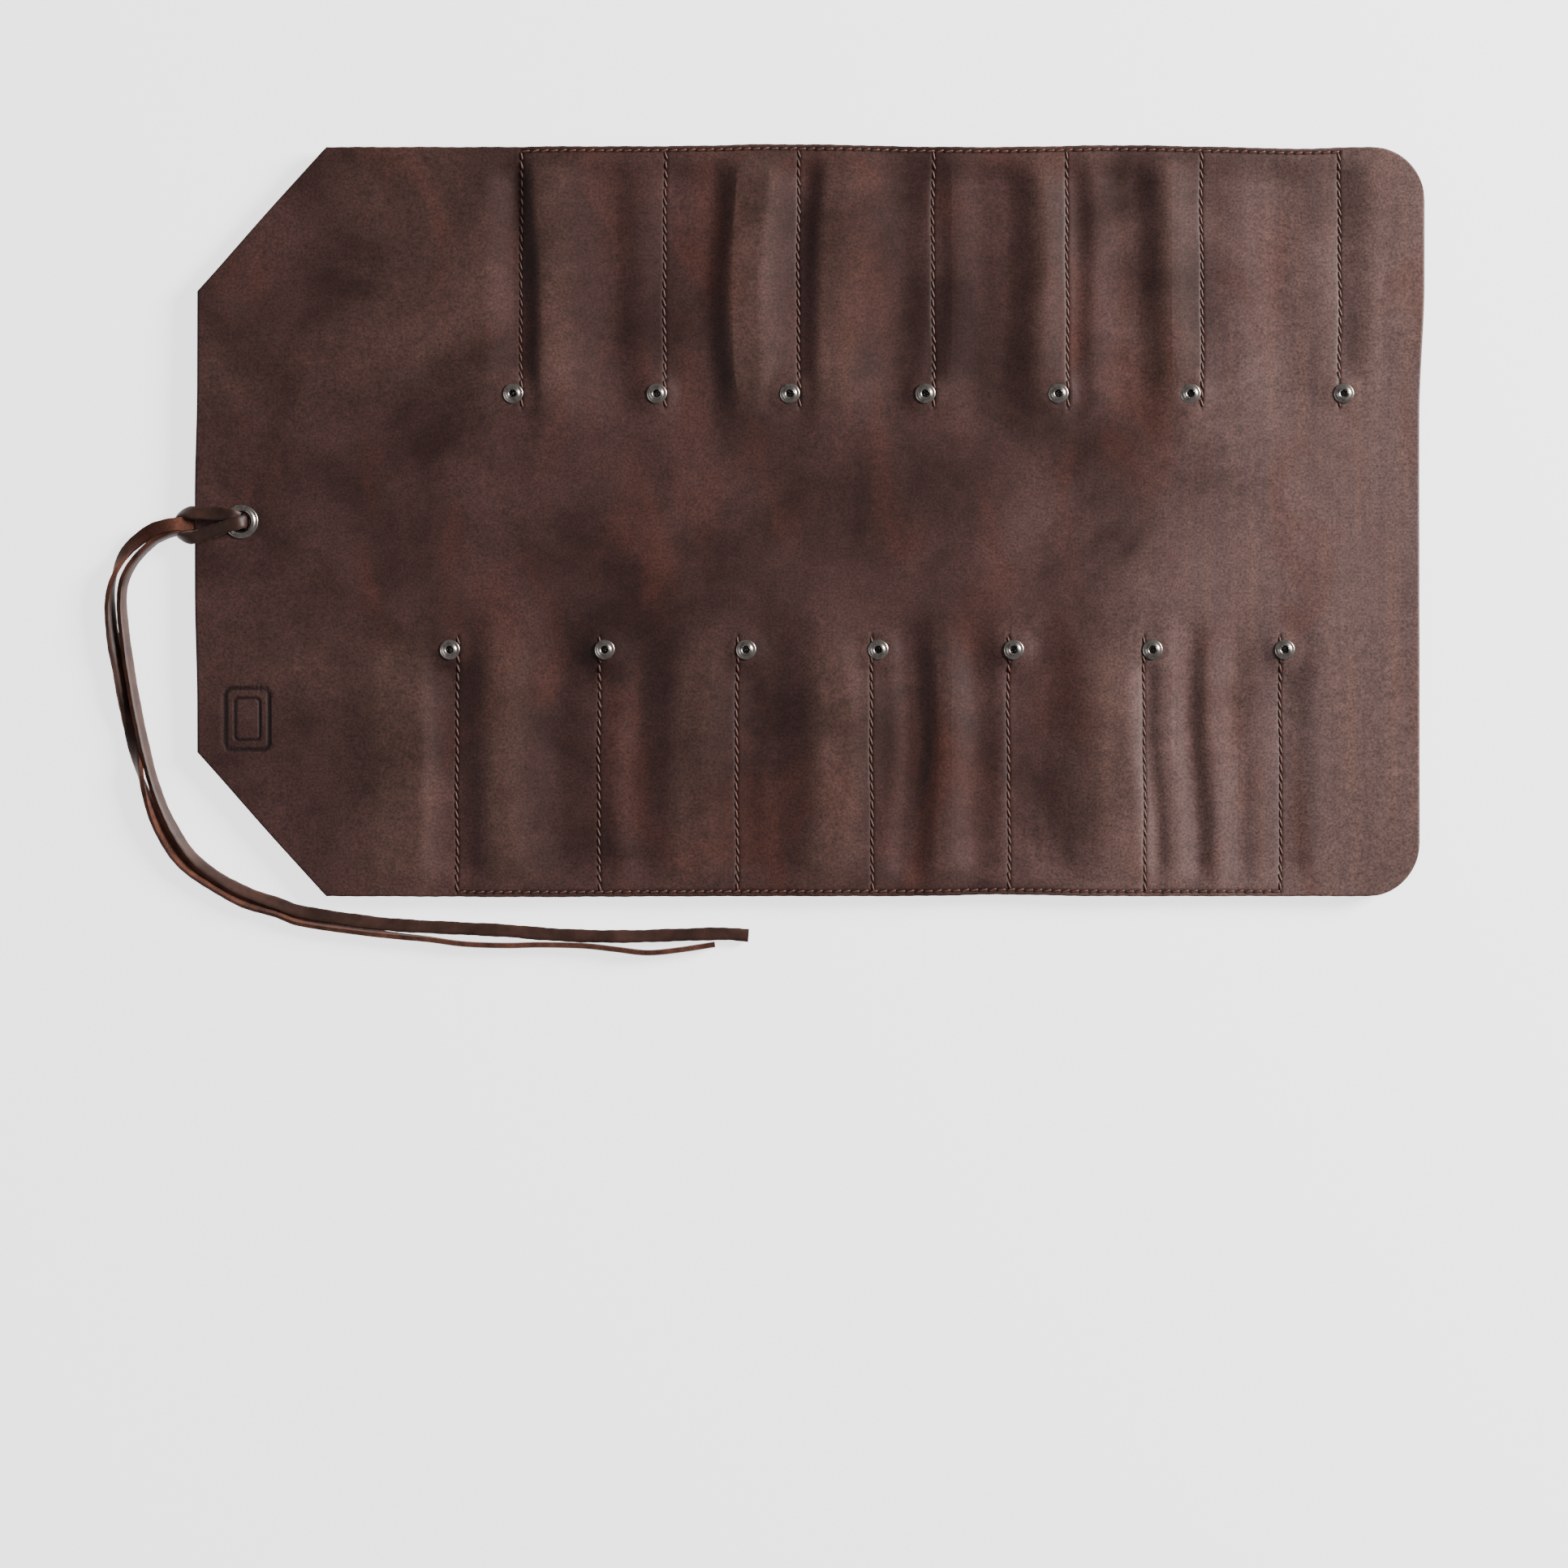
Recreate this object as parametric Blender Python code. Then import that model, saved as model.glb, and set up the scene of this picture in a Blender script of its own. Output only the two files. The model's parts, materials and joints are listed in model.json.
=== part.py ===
"""A leather roll-up pencil case, laid open flat with its outside face up.

The case is one long sheet of oiled leather with a row of pockets along each long edge, stitched
and riveted to its inner face, which lies underneath. It rolls up from its +X end, and the flap
at the -X end goes round last and carries an eyelet with a long lace that ties the roll.

The sheet is cut here into fifteen strips that are hinged to each other, because a rigid solid
cannot bend. Units are metres, +Z is up, and the origin is under the middle of the sheet.
"""

import math

import bmesh
import bpy
import numpy as np

# ---- the sheet ----
LENGTH = 0.576
WIDTH = 0.351
OUTER_THICKNESS = 0.0015
POCKET_THICKNESS = 0.0013
HOLLOW = 0.0044          # a slack pocket's height between its two leathers
GAP = 0.0003             # what touching pieces keep between them
FLAP_HALF = 0.1080       # half the flap's straight end
CHAMFER = 0.0615         # how far the flap's slanted corners reach along X
CORNER_RADIUS = 0.025    # the two corners at the +X end

# ---- the strips, from the flap to the end that is rolled in first ----
# Each turn of the roll takes six strips. They get narrower towards the middle of the roll, so
# that one turn lies inside the next, and their edges keep clear of the rivets.
STRIP_WIDTHS = (
    0.0550, 0.0545, 0.0490, 0.0465, 0.0455, 0.0450, 0.0395, 0.0390,
    0.0375, 0.0300, 0.0325, 0.0295, 0.0270, 0.0245, 0.0210,
)
FOLD = math.radians(60)  # the angle between two strips when the case is rolled up

# ---- the pockets ----
POCKET_MOUTH = 0.0520    # from the middle line to the pockets' open edge
RIM_FOOT = 0.0115        # where the pocket leather starts to rise to the sewn edge
RIM_FLAT = 0.0045        # how wide the pocket leather lies against the sheet at that edge
SEAM_FOOT = 0.0155       # the same two measures on each side of a sewn divider
SEAM_FLAT = 0.0095
EDGE_STEP = 0.0004       # the least distance between a strip's end and the next row of its grid
UPPER_SEAMS = (-0.1351, -0.0678, -0.0051, 0.0580, 0.1207, 0.1837, 0.2483)
LOWER_SEAMS = (-0.1651, -0.0986, -0.0340, 0.0291, 0.0933, 0.1568, 0.2206)
UPPER_ENDS = (-0.1455, 0.2560)
LOWER_ENDS = (-0.1745, 0.2290)

# ---- the rivets at the pockets' mouths ----
RIVET_ROW = 0.0600
UPPER_RIVETS = (-0.1389, -0.0716, -0.0093, 0.0542, 0.1165, 0.1784, 0.2502)
LOWER_RIVETS = (-0.1685, -0.0960, -0.0298, 0.0321, 0.0956, 0.1606, 0.2225)
RIVET_CAP_RADIUS = 0.0047
RIVET_TUBE_RADIUS = 0.0016
RIVET_BORE_RADIUS = 0.0013
RIVET_HOLE_RADIUS = 0.0019

# ---- the eyelet and the lace ----
EYELET_X = -0.2662
EYELET_RADIUS = 0.0080
EYELET_BORE_RADIUS = 0.00435
BARREL_RADIUS = 0.0049
LACE_WIDTH = 0.0060
LACE_THICKNESS = 0.0024
HITCH_END_X = -0.2960
TAIL_RADIUS = 0.0020
TAIL_STEP = 0.0120       # the distance between two points of a tail's tube

# The tails' routes, from the hitch to their cut ends, as they lie round the flap.
SHORT_TAIL = (
    (-0.2985, 0.0002, 0.0066), (-0.3040, -0.0018, 0.0062), (-0.3103, -0.0049, 0.0048),
    (-0.3201, -0.0134, 0.0025), (-0.3260, -0.0245, 0.0023), (-0.3280, -0.0363, 0.0023),
    (-0.3269, -0.0533, 0.0023), (-0.3236, -0.0716, 0.0023), (-0.3208, -0.0913, 0.0023),
    (-0.3175, -0.1096, 0.0023), (-0.3129, -0.1279, 0.0023), (-0.3051, -0.1476, 0.0023),
    (-0.2946, -0.1619, 0.0023), (-0.2809, -0.1713, 0.0023), (-0.2666, -0.1790, 0.0023),
    (-0.2495, -0.1841, 0.0023), (-0.2388, -0.1875, 0.0023), (-0.2168, -0.1913, 0.0023),
    (-0.1945, -0.1942, 0.0023), (-0.1797, -0.1957, 0.0023), (-0.1621, -0.1980, 0.0023),
    (-0.1427, -0.1987, 0.0023), (-0.1264, -0.1984, 0.0023), (-0.1058, -0.1989, 0.0023),
    (-0.0910, -0.2005, 0.0023), (-0.0762, -0.2021, 0.0023), (-0.0614, -0.2008, 0.0023),
    (-0.0444, -0.1982, 0.0023),
)
LONG_TAIL = (
    (-0.2985, -0.0044, 0.0040), (-0.3035, -0.0066, 0.0036), (-0.3083, -0.0095, 0.0029),
    (-0.3162, -0.0180, 0.0023), (-0.3212, -0.0272, 0.0023), (-0.3225, -0.0376, 0.0023),
    (-0.3212, -0.0533, 0.0023), (-0.3186, -0.0716, 0.0023), (-0.3156, -0.0887, 0.0023),
    (-0.3120, -0.1057, 0.0023), (-0.3076, -0.1227, 0.0023), (-0.3010, -0.1397, 0.0023),
    (-0.2909, -0.1560, 0.0023), (-0.2782, -0.1666, 0.0023), (-0.2638, -0.1742, 0.0023),
    (-0.2495, -0.1792, 0.0023), (-0.2388, -0.1828, 0.0023), (-0.2168, -0.1864, 0.0023),
    (-0.1945, -0.1890, 0.0023), (-0.1649, -0.1906, 0.0023), (-0.1428, -0.1917, 0.0023),
    (-0.1250, -0.1932, 0.0023), (-0.1058, -0.1942, 0.0023), (-0.0836, -0.1944, 0.0023),
    (-0.0614, -0.1937, 0.0023), (-0.0407, -0.1932, 0.0023), (-0.0286, -0.1940, 0.0023),
)

# ---- heights worked out from the above ----
OUTER_BOTTOM = POCKET_THICKNESS + HOLLOW
OUTER_TOP = OUTER_BOTTOM + OUTER_THICKNESS
PIVOT_Z = OUTER_BOTTOM + OUTER_THICKNESS / 2
POCKET_LIFT = OUTER_BOTTOM - GAP - POCKET_THICKNESS
STRIP_EDGES = tuple(-LENGTH / 2 + sum(STRIP_WIDTHS[:i]) for i in range(len(STRIP_WIDTHS) + 1))


def material(name, colour, roughness, metallic=0.0):
    """A plain Principled material."""
    made = bpy.data.materials.new(name)
    made.use_nodes = True
    shader = made.node_tree.nodes["Principled BSDF"]
    shader.inputs["Base Color"].default_value = (*colour, 1.0)
    shader.inputs["Roughness"].default_value = roughness
    shader.inputs["Metallic"].default_value = metallic
    return made


def add_object(name, data, finish):
    """Links an object with one material to the scene."""
    made = bpy.data.objects.new(name, data)
    made.data.materials.append(finish)
    bpy.context.scene.collection.objects.link(made)
    return made


def mesh_from(name, vertices, faces):
    """A mesh with its faces pointing outwards."""
    mesh = bpy.data.meshes.new(name)
    mesh.from_pydata(vertices, [], faces)
    solid = bmesh.new()
    solid.from_mesh(mesh)
    bmesh.ops.recalc_face_normals(solid, faces=solid.faces)
    solid.to_mesh(mesh)
    solid.free()
    return mesh


def stacked_solid(name, loops):
    """A closed solid through loops of points, one above the other, with the same count each."""
    count = len(loops[0])
    vertices = [point for loop in loops for point in loop]
    faces = [tuple(range(count)), tuple(range(len(vertices) - count, len(vertices)))]
    for level in range(len(loops) - 1):
        low = level * count
        for i in range(count):
            j = (i + 1) % count
            faces.append((low + i, low + j, low + count + j, low + count + i))
    return mesh_from(name, vertices, faces)


def turned(name, profile, sides, finish, place):
    """A ring turned round Z from a closed profile of (radius, height) points."""
    rim = len(profile)
    vertices = []
    for k in range(sides):
        turn = 2 * math.pi * k / sides
        vertices += [(r * math.cos(turn), r * math.sin(turn), z) for r, z in profile]
    faces = []
    for k in range(sides):
        here, there = k * rim, (k + 1) % sides * rim
        for i in range(rim):
            j = (i + 1) % rim
            faces.append((here + i, here + j, there + j, there + i))
    mesh = mesh_from(name, vertices, faces)
    mesh.shade_smooth()
    mesh.set_sharp_from_angle(angle=math.radians(35))
    ring = add_object(name, mesh, finish)
    ring.location = place
    return ring


def cutter(name, radius, place, sides):
    """A hidden upright cylinder that cuts a hole through both leathers."""
    half = 0.010
    loops = [
        [
            (radius * math.cos(2 * math.pi * k / sides), radius * math.sin(2 * math.pi * k / sides), z)
            for k in range(sides)
        ]
        for z in (-half, half)
    ]
    tool = bpy.data.objects.new(name, stacked_solid(name, loops))
    tool.location = place
    tool.hide_render = True
    tool.display_type = "WIRE"
    bpy.context.scene.collection.objects.link(tool)
    return tool


def cut(target, tool):
    """Cuts a hole with a Boolean modifier that stays on the object."""
    modifier = target.modifiers.new(tool.name, "BOOLEAN")
    modifier.object = tool
    modifier.operation = "DIFFERENCE"
    modifier.solver = "EXACT"


def half_width(x):
    """Half the sheet's width at x: slanted at the flap, round at the two far corners."""
    from_flap = x + LENGTH / 2
    if from_flap < CHAMFER:
        return FLAP_HALF + (WIDTH / 2 - FLAP_HALF) * from_flap / CHAMFER
    into_corner = x - (LENGTH / 2 - CORNER_RADIUS)
    if into_corner > 0:
        return WIDTH / 2 - CORNER_RADIUS + math.sqrt(max(0.0, CORNER_RADIUS**2 - into_corner**2))
    return WIDTH / 2


def mitre(z):
    """How far a strip's edge stays back from its fold line at height z."""
    return GAP / 2 + max(0.0, PIVOT_Z - z) * math.tan(FOLD / 2)


def strip_side(index, z, at_right):
    """The x of strip number index's left or right edge at height z; the sheet's ends are plumb."""
    edge = STRIP_EDGES[index + at_right]
    is_end = index + at_right in (0, len(STRIP_WIDTHS))
    if is_end:
        return edge
    return edge - mitre(z) if at_right else edge + mitre(z)


def outer_strip(index, finish):
    """One strip of the sheet, with its lower edges mitred so that it can fold."""
    left, right = STRIP_EDGES[index], STRIP_EDGES[index + 1]
    corner_start = LENGTH / 2 - CORNER_RADIUS
    arc = [corner_start + CORNER_RADIUS * math.sin(math.radians(a)) for a in range(0, 90, 15)]
    knots = [-LENGTH / 2 + CHAMFER, *arc]
    inner = [x for x in knots if left + 0.001 < x < right - 0.0002]
    loops = []
    for z in (OUTER_TOP, PIVOT_Z, OUTER_BOTTOM):
        ends = (strip_side(index, z, False), strip_side(index, z, True))
        xs = [ends[0], *inner, ends[1]]
        halves = [half_width(left), *(half_width(x) for x in inner), half_width(right)]
        loop = [(x, h, z) for x, h in zip(xs, halves)]
        loop += [(x, -h, z) for x, h in zip(reversed(xs), reversed(halves))]
        loops.append(loop)
    name = f"outer_leather_{index + 1:02d}"
    return add_object(name, stacked_solid(name, loops), finish)


def ramp(distance, flat, foot):
    """1 within flat, 0 beyond foot, and straight in between."""
    return min(1.0, max(0.0, (foot - distance) / (foot - flat)))


def pocket_height(x, y, seams, ends):
    """The height of the pocket leather's underside: down between the seams, up where it is sewn."""
    at_rim = ramp(WIDTH / 2 - abs(y), RIM_FLAT, RIM_FOOT)
    at_seam = max(ramp(abs(x - seam), SEAM_FLAT, SEAM_FOOT) for seam in seams)
    beyond = 1.0 if x < seams[0] or x > seams[-1] else 0.0
    return POCKET_LIFT * max(at_rim, at_seam, beyond)


def pocket_strip(index, row, side, seams, ends, finish):
    """One strip of a row of pockets; side is +1 for the upper row and -1 for the lower."""
    is_first, is_last = STRIP_EDGES[index] <= ends[0], STRIP_EDGES[index + 1] >= ends[1]
    edge_inset = 0.0002
    rows = [POCKET_MOUTH, WIDTH / 2 - RIM_FOOT, WIDTH / 2 - RIM_FLAT, WIDTH / 2 - edge_inset]

    def edge(at_right, y, rise):
        """Where the strip's own end is: at the row's end, or at the mitred fold."""
        if is_last if at_right else is_first:
            return ends[at_right]
        x = STRIP_EDGES[index + at_right]
        for _ in range(12):
            x = strip_side(index, pocket_height(x, y, seams, ends) + rise, at_right)
        return x

    lefts, rights = ([edge(at_right, y, 0.0) for y in rows] for at_right in (False, True))
    knots = [seam + shift for seam in seams for shift in (-SEAM_FOOT, -SEAM_FLAT, SEAM_FLAT, SEAM_FOOT)]
    inside = (max(max(lefts), seams[0]) + EDGE_STEP, min(min(rights), seams[-1]) - EDGE_STEP)
    inner = [x for x in knots if inside[0] < x < inside[1]]
    vertices = []
    for rise in (0.0, POCKET_THICKNESS):
        columns = [
            [edge(False, y, rise) for y in rows],
            *([x] * len(rows) for x in inner),
            [edge(True, y, rise) for y in rows],
        ]
        for column in columns:
            for x, y in zip(column, rows):
                vertices.append((x, side * y, pocket_height(x, y, seams, ends) + rise))
    tall, wide = len(rows), len(inner) + 2
    layer = tall * wide
    faces = []
    for i in range(wide - 1):
        for j in range(tall - 1):
            corner = i * tall + j
            quad = (corner, corner + 1, corner + tall + 1, corner + tall)
            faces.append(quad)
            faces.append(tuple(layer + v for v in reversed(quad)))
    border = [j for j in range(tall)]
    border += [i * tall + tall - 1 for i in range(1, wide)]
    border += [(wide - 1) * tall + j for j in range(tall - 2, -1, -1)]
    border += [i * tall for i in range(wide - 2, 0, -1)]
    for a, b in zip(border, border[1:] + border[:1]):
        faces.append((a, b, layer + b, layer + a))
    name = f"{row}_pockets_{index + 1:02d}"
    return add_object(name, mesh_from(name, vertices, faces), finish)


def rivet(name, place, finish):
    """A tubular rivet: a domed cap outside, a flange inside, and the tube between them."""
    seat = OUTER_TOP + GAP
    under = POCKET_LIFT - GAP
    profile = [
        (RIVET_BORE_RADIUS, under - 0.0008),
        (0.0041, under - 0.0008),
        (0.0041, under),
        (RIVET_TUBE_RADIUS, under),
        (RIVET_TUBE_RADIUS, seat),
        (RIVET_CAP_RADIUS, seat),
        (0.0043, seat + 0.0005),
        (0.0023, seat + 0.0009),
        (RIVET_BORE_RADIUS, seat + 0.0009),
    ]
    return turned(name, profile, 14, finish, (place[0], place[1], 0.0))


def eyelet(finish):
    """The eyelet in the flap, its barrel rolled over the washer underneath."""
    seat = OUTER_TOP + GAP
    profile = [
        (EYELET_BORE_RADIUS, 0.0040),
        (0.0060, 0.0040),
        (0.0060, 0.0045),
        (BARREL_RADIUS, 0.0045),
        (BARREL_RADIUS, seat),
        (EYELET_RADIUS, seat),
        (0.0076, seat + 0.0006),
        (0.0056, seat + 0.0011),
        (EYELET_BORE_RADIUS, seat + 0.0006),
    ]
    turned("eyelet", profile, 28, finish, (EYELET_X, 0.0, 0.0))
    top = OUTER_BOTTOM - GAP
    ring = [(BARREL_RADIUS + GAP, top - 0.0006), (0.0075, top - 0.0006), (0.0075, top)]
    ring.append((BARREL_RADIUS + GAP, top))
    turned("eyelet_washer", ring, 28, finish, (EYELET_X, 0.0, 0.0))


def lace_hitch(finish):
    """The lace's hitch: two bands over the flap's end, two under it, and both through the eyelet."""
    top_low = OUTER_TOP + GAP + 0.0011 + GAP
    top_high = top_low + LACE_THICKNESS
    low_high = 0.0037
    low_low = low_high - LACE_THICKNESS
    right = EYELET_X + LACE_THICKNESS
    inside = HITCH_END_X + LACE_THICKNESS
    outline = [
        (right, top_low), (right, top_high), (HITCH_END_X, top_high), (HITCH_END_X, low_low),
        (right, low_low), (right, low_high), (inside, low_high), (inside, top_low),
    ]
    loops = [[(x, y, z) for x, z in outline] for y in (-LACE_WIDTH * 0.95, LACE_WIDTH * 0.95)]
    hitch = add_object("lace_hitch", stacked_solid("lace_hitch", loops), finish)
    overlap = 0.0010
    post_left = EYELET_X - LACE_THICKNESS
    post_right = right - 0.0001
    half = LACE_WIDTH / 2 - 0.0003
    sides = [(post_left, -half), (post_right, -half), (post_right, half), (post_left, half)]
    levels = (low_high - overlap, top_low + overlap)
    post = bpy.data.objects.new(
        "hitch_post", stacked_solid("hitch_post", [[(x, y, z) for x, y in sides] for z in levels])
    )
    post.hide_render = True
    post.display_type = "WIRE"
    bpy.context.scene.collection.objects.link(post)
    join = hitch.modifiers.new("post", "BOOLEAN")
    join.object = post
    join.operation = "UNION"
    join.solver = "EXACT"


def smooth_route(points, step):
    """Evenly spaced points on a smooth curve through the given ones (Catmull-Rom)."""
    route = np.array(points)
    padded = np.vstack([2 * route[0] - route[1], route, 2 * route[-1] - route[-2]])
    fine = []
    for a, b, c, d in zip(padded, padded[1:], padded[2:], padded[3:]):
        for t in np.linspace(0.0, 1.0, 12, endpoint=False):
            fine.append(
                0.5 * (2 * b + (c - a) * t + (2 * a - 5 * b + 4 * c - d) * t**2
                       + (3 * b - a - 3 * c + d) * t**3)
            )
    fine = np.array([*fine, route[-1]])
    along = np.concatenate([[0.0], np.cumsum(np.linalg.norm(np.diff(fine, axis=0), axis=1))])
    count = round(along[-1] / step) + 1
    places = np.linspace(0.0, along[-1], count)
    return np.column_stack([np.interp(places, along, fine[:, axis]) for axis in range(3)])


def lace_tail(name, points, finish):
    """One free end of the lace as a plain tube."""
    curve = bpy.data.curves.new(name, "CURVE")
    curve.dimensions = "3D"
    curve.bevel_depth = TAIL_RADIUS
    curve.bevel_resolution = 2
    curve.use_fill_caps = True
    route = smooth_route(points, TAIL_STEP)
    spline = curve.splines.new("POLY")
    spline.points.add(len(route) - 1)
    for point, place in zip(spline.points, route):
        point.co = (*place, 1.0)
    add_object(name, curve, finish)


def strip_of(x):
    """The number of the strip that x falls on."""
    return next(i for i in range(len(STRIP_WIDTHS)) if x < STRIP_EDGES[i + 1])


def build():
    """Makes every piece."""
    for old in list(bpy.data.objects):
        bpy.data.objects.remove(old)
    leather = material("oiled leather", (0.055, 0.028, 0.021), 0.55)
    pocket_leather = material("pocket leather", (0.070, 0.034, 0.025), 0.65)
    lace_leather = material("lace leather", (0.085, 0.038, 0.026), 0.70)
    nickel = material("antique nickel", (0.50, 0.48, 0.46), 0.28, 1.0)

    outer = [outer_strip(index, leather) for index in range(len(STRIP_WIDTHS))]
    rows = (
        ("upper", 1, UPPER_SEAMS, UPPER_ENDS, UPPER_RIVETS),
        ("lower", -1, LOWER_SEAMS, LOWER_ENDS, LOWER_RIVETS),
    )
    for row, side, seams, ends, rivets in rows:
        pockets = {
            index: pocket_strip(index, row, side, seams, ends, pocket_leather)
            for index in range(strip_of(ends[0]), strip_of(ends[1]) + 1)
        }
        for number, x in enumerate(rivets, 1):
            place = (x, side * RIVET_ROW)
            rivet(f"{row}_rivet_{number}", place, nickel)
            hole = cutter(f"{row}_rivet_hole_{number}", RIVET_HOLE_RADIUS, (*place, PIVOT_Z), 12)
            cut(outer[strip_of(x)], hole)
            cut(pockets[strip_of(x)], hole)
    eyelet_hole = cutter("eyelet_hole", BARREL_RADIUS + GAP, (EYELET_X, 0.0, PIVOT_Z), 28)
    cut(outer[0], eyelet_hole)
    eyelet(nickel)
    lace_hitch(lace_leather)
    lace_tail("lace_short_tail", SHORT_TAIL, lace_leather)
    lace_tail("lace_long_tail", LONG_TAIL, lace_leather)


build()
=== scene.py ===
import json
import math

import bpy
import numpy as np
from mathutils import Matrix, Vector


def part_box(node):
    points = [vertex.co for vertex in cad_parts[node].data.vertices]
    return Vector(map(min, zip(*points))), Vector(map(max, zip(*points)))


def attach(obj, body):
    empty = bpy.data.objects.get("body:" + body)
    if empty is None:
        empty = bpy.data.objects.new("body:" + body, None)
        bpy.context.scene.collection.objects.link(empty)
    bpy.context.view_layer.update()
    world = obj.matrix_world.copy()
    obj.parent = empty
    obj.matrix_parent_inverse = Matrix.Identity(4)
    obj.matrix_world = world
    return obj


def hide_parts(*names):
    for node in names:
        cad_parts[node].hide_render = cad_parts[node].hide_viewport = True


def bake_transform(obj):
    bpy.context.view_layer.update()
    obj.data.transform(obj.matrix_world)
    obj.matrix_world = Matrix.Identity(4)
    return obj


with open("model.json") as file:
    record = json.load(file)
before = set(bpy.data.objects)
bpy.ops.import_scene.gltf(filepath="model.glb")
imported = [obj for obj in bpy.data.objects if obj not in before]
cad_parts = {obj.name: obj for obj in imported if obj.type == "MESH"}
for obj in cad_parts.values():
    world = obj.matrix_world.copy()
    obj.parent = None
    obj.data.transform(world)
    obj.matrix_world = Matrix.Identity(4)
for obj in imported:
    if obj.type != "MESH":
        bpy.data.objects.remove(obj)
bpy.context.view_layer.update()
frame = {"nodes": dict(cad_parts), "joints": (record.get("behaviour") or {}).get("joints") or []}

# The leather roll-up pencil case, open and face down on its pockets. Lengths are in metres.
MM = 0.001

# ---- sizes read from the frame ----
CREASES = sorted(joint["pos_m"][0] for joint in frame["joints"])
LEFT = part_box("outer_leather_01")[0].x
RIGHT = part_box("outer_leather_15")[1].x
HALF_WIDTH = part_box("outer_leather_02")[1].y
OUTER_BOTTOM, OUTER_TOP = (corner.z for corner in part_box("outer_leather_02"))
OUTER_THICKNESS = OUTER_TOP - OUTER_BOTTOM
EDGES = [LEFT, *CREASES, RIGHT]
MIDDLES = [(a + b) / 2 for a, b in zip(EDGES, EDGES[1:])]
CUTS = [LEFT, *MIDDLES[1:-1], RIGHT]
RIVETS = {
    row: [
        (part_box(f"{row}_rivet_{number}")[0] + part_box(f"{row}_rivet_{number}")[1]) / 2
        for number in range(1, 8)
    ]
    for row in ("upper", "lower")
}
EYELET = (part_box("eyelet")[0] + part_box("eyelet")[1]) / 2

# ---- sizes of the leather ----
POCKET_THICKNESS = 1.3 * MM
LEATHER_GAP = 0.06 * MM   # between the sewn leathers
FLAP_HALF = 108 * MM
CHAMFER = 61.5 * MM
CORNER_RADIUS = 25 * MM
POCKET_MOUTH = 52 * MM
SEAM_END = 53.5 * MM
STITCH_INSET = 2.2 * MM
STITCH_PITCH = 4.3 * MM
SEAMS = {
    "upper": [x * MM for x in (-135.1, -67.8, -5.1, 58.0, 120.7, 183.7, 248.3)],
    "lower": [x * MM for x in (-165.1, -98.6, -34.0, 29.1, 93.3, 156.8, 220.6)],
}
POCKET_ENDS = {"upper": (-145.5 * MM, 256 * MM), "lower": (-174.5 * MM, 229 * MM)}
SIDE = {"upper": 1, "lower": -1}
SAG = 2.5 * MM           # how far the slack leather lies below its sewn edges
CREST = 1.0 * MM         # how far a puffed pocket may rise above them

# Each puffed fold of the slack leather: where it rises and over what width, where it falls and
# over what width, and how high it is, in millimetres from the middle of the case.
PUFFS = {
    "upper": (
        (-130, 10, -105, 36, 3.4), (-84, 12, -70, 14, 1.0), (-38, 15, -14, 30, 4.3),
        (1, 12, 29, 32, 2.9), (49, 12, 57, 10, 0.6), (61, 10, 73, 16, 1.1), (99, 20, 117, 22, 3.0),
        (127, 10, 138, 16, 1.2), (160, 18, 180, 26, 3.2), (186, 22, 210, 24, 1.1),
        (230, 22, 250, 16, 1.1), (253, 8, 264, 14, 0.6),
    ),
    "lower": (
        (-206, 26, -181, 18, 1.2), (-155, 20, -127, 30, 3.6), (-92, 12, -84, 14, 0.8),
        (-70, 22, -38, 26, 2.7), (-7, 22, 24, 28, 2.5), (3, 18, 40, 10, 1.3),
        (54, 12, 70, 16, 2.5), (84, 10, 91, 10, 0.8), (124, 32, 157, 14, 2.9),
        (163, 8, 175, 12, 1.6), (185, 10, 196, 16, 1.9), (207, 14, 222, 20, 0.9),
    ),
}

# ---- the mark on the flap: its middle, and half its size ----
MARK_CENTRE = (-263.8 * MM, -92.5 * MM)
MARK_HALF = (10.6 * MM, 14.4 * MM)

# ---- sizes of the lace ----
LACE_WIDTH = 6.0 * MM
LACE_THICKNESS = 2.4 * MM
LAID = 0.0023            # the height of the route's points where the lace lies on the table
SHORT_TAIL = (
    (-0.2672, 0.0006, 0.0060), (-0.2740, 0.0004, 0.0042), (-0.2850, -0.0002, 0.0040),
    (-0.2915, -0.0009, 0.0066), (-0.2975, -0.0014, 0.0092), (-0.3040, -0.0026, 0.0082),
    (-0.3103, -0.0053, 0.0052),
    (-0.3201, -0.0134, 0.0025), (-0.3260, -0.0245, LAID), (-0.3280, -0.0363, LAID),
    (-0.3269, -0.0533, LAID), (-0.3236, -0.0716, LAID), (-0.3200, -0.0913, LAID),
    (-0.3160, -0.1095, LAID), (-0.3113, -0.1276, LAID), (-0.3036, -0.1469, LAID),
    (-0.2934, -0.1609, LAID), (-0.2800, -0.1703, LAID), (-0.2661, -0.1781, LAID),
    (-0.2493, -0.1834, LAID), (-0.2388, -0.1875, LAID), (-0.2168, -0.1913, LAID),
    (-0.1945, -0.1942, LAID), (-0.1797, -0.1957, LAID), (-0.1621, -0.1980, LAID),
    (-0.1427, -0.1987, LAID), (-0.1264, -0.1984, LAID), (-0.1058, -0.1989, LAID),
    (-0.0910, -0.2005, LAID), (-0.0762, -0.2021, LAID), (-0.0614, -0.2008, LAID),
    (-0.0444, -0.1982, LAID),
)
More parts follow.
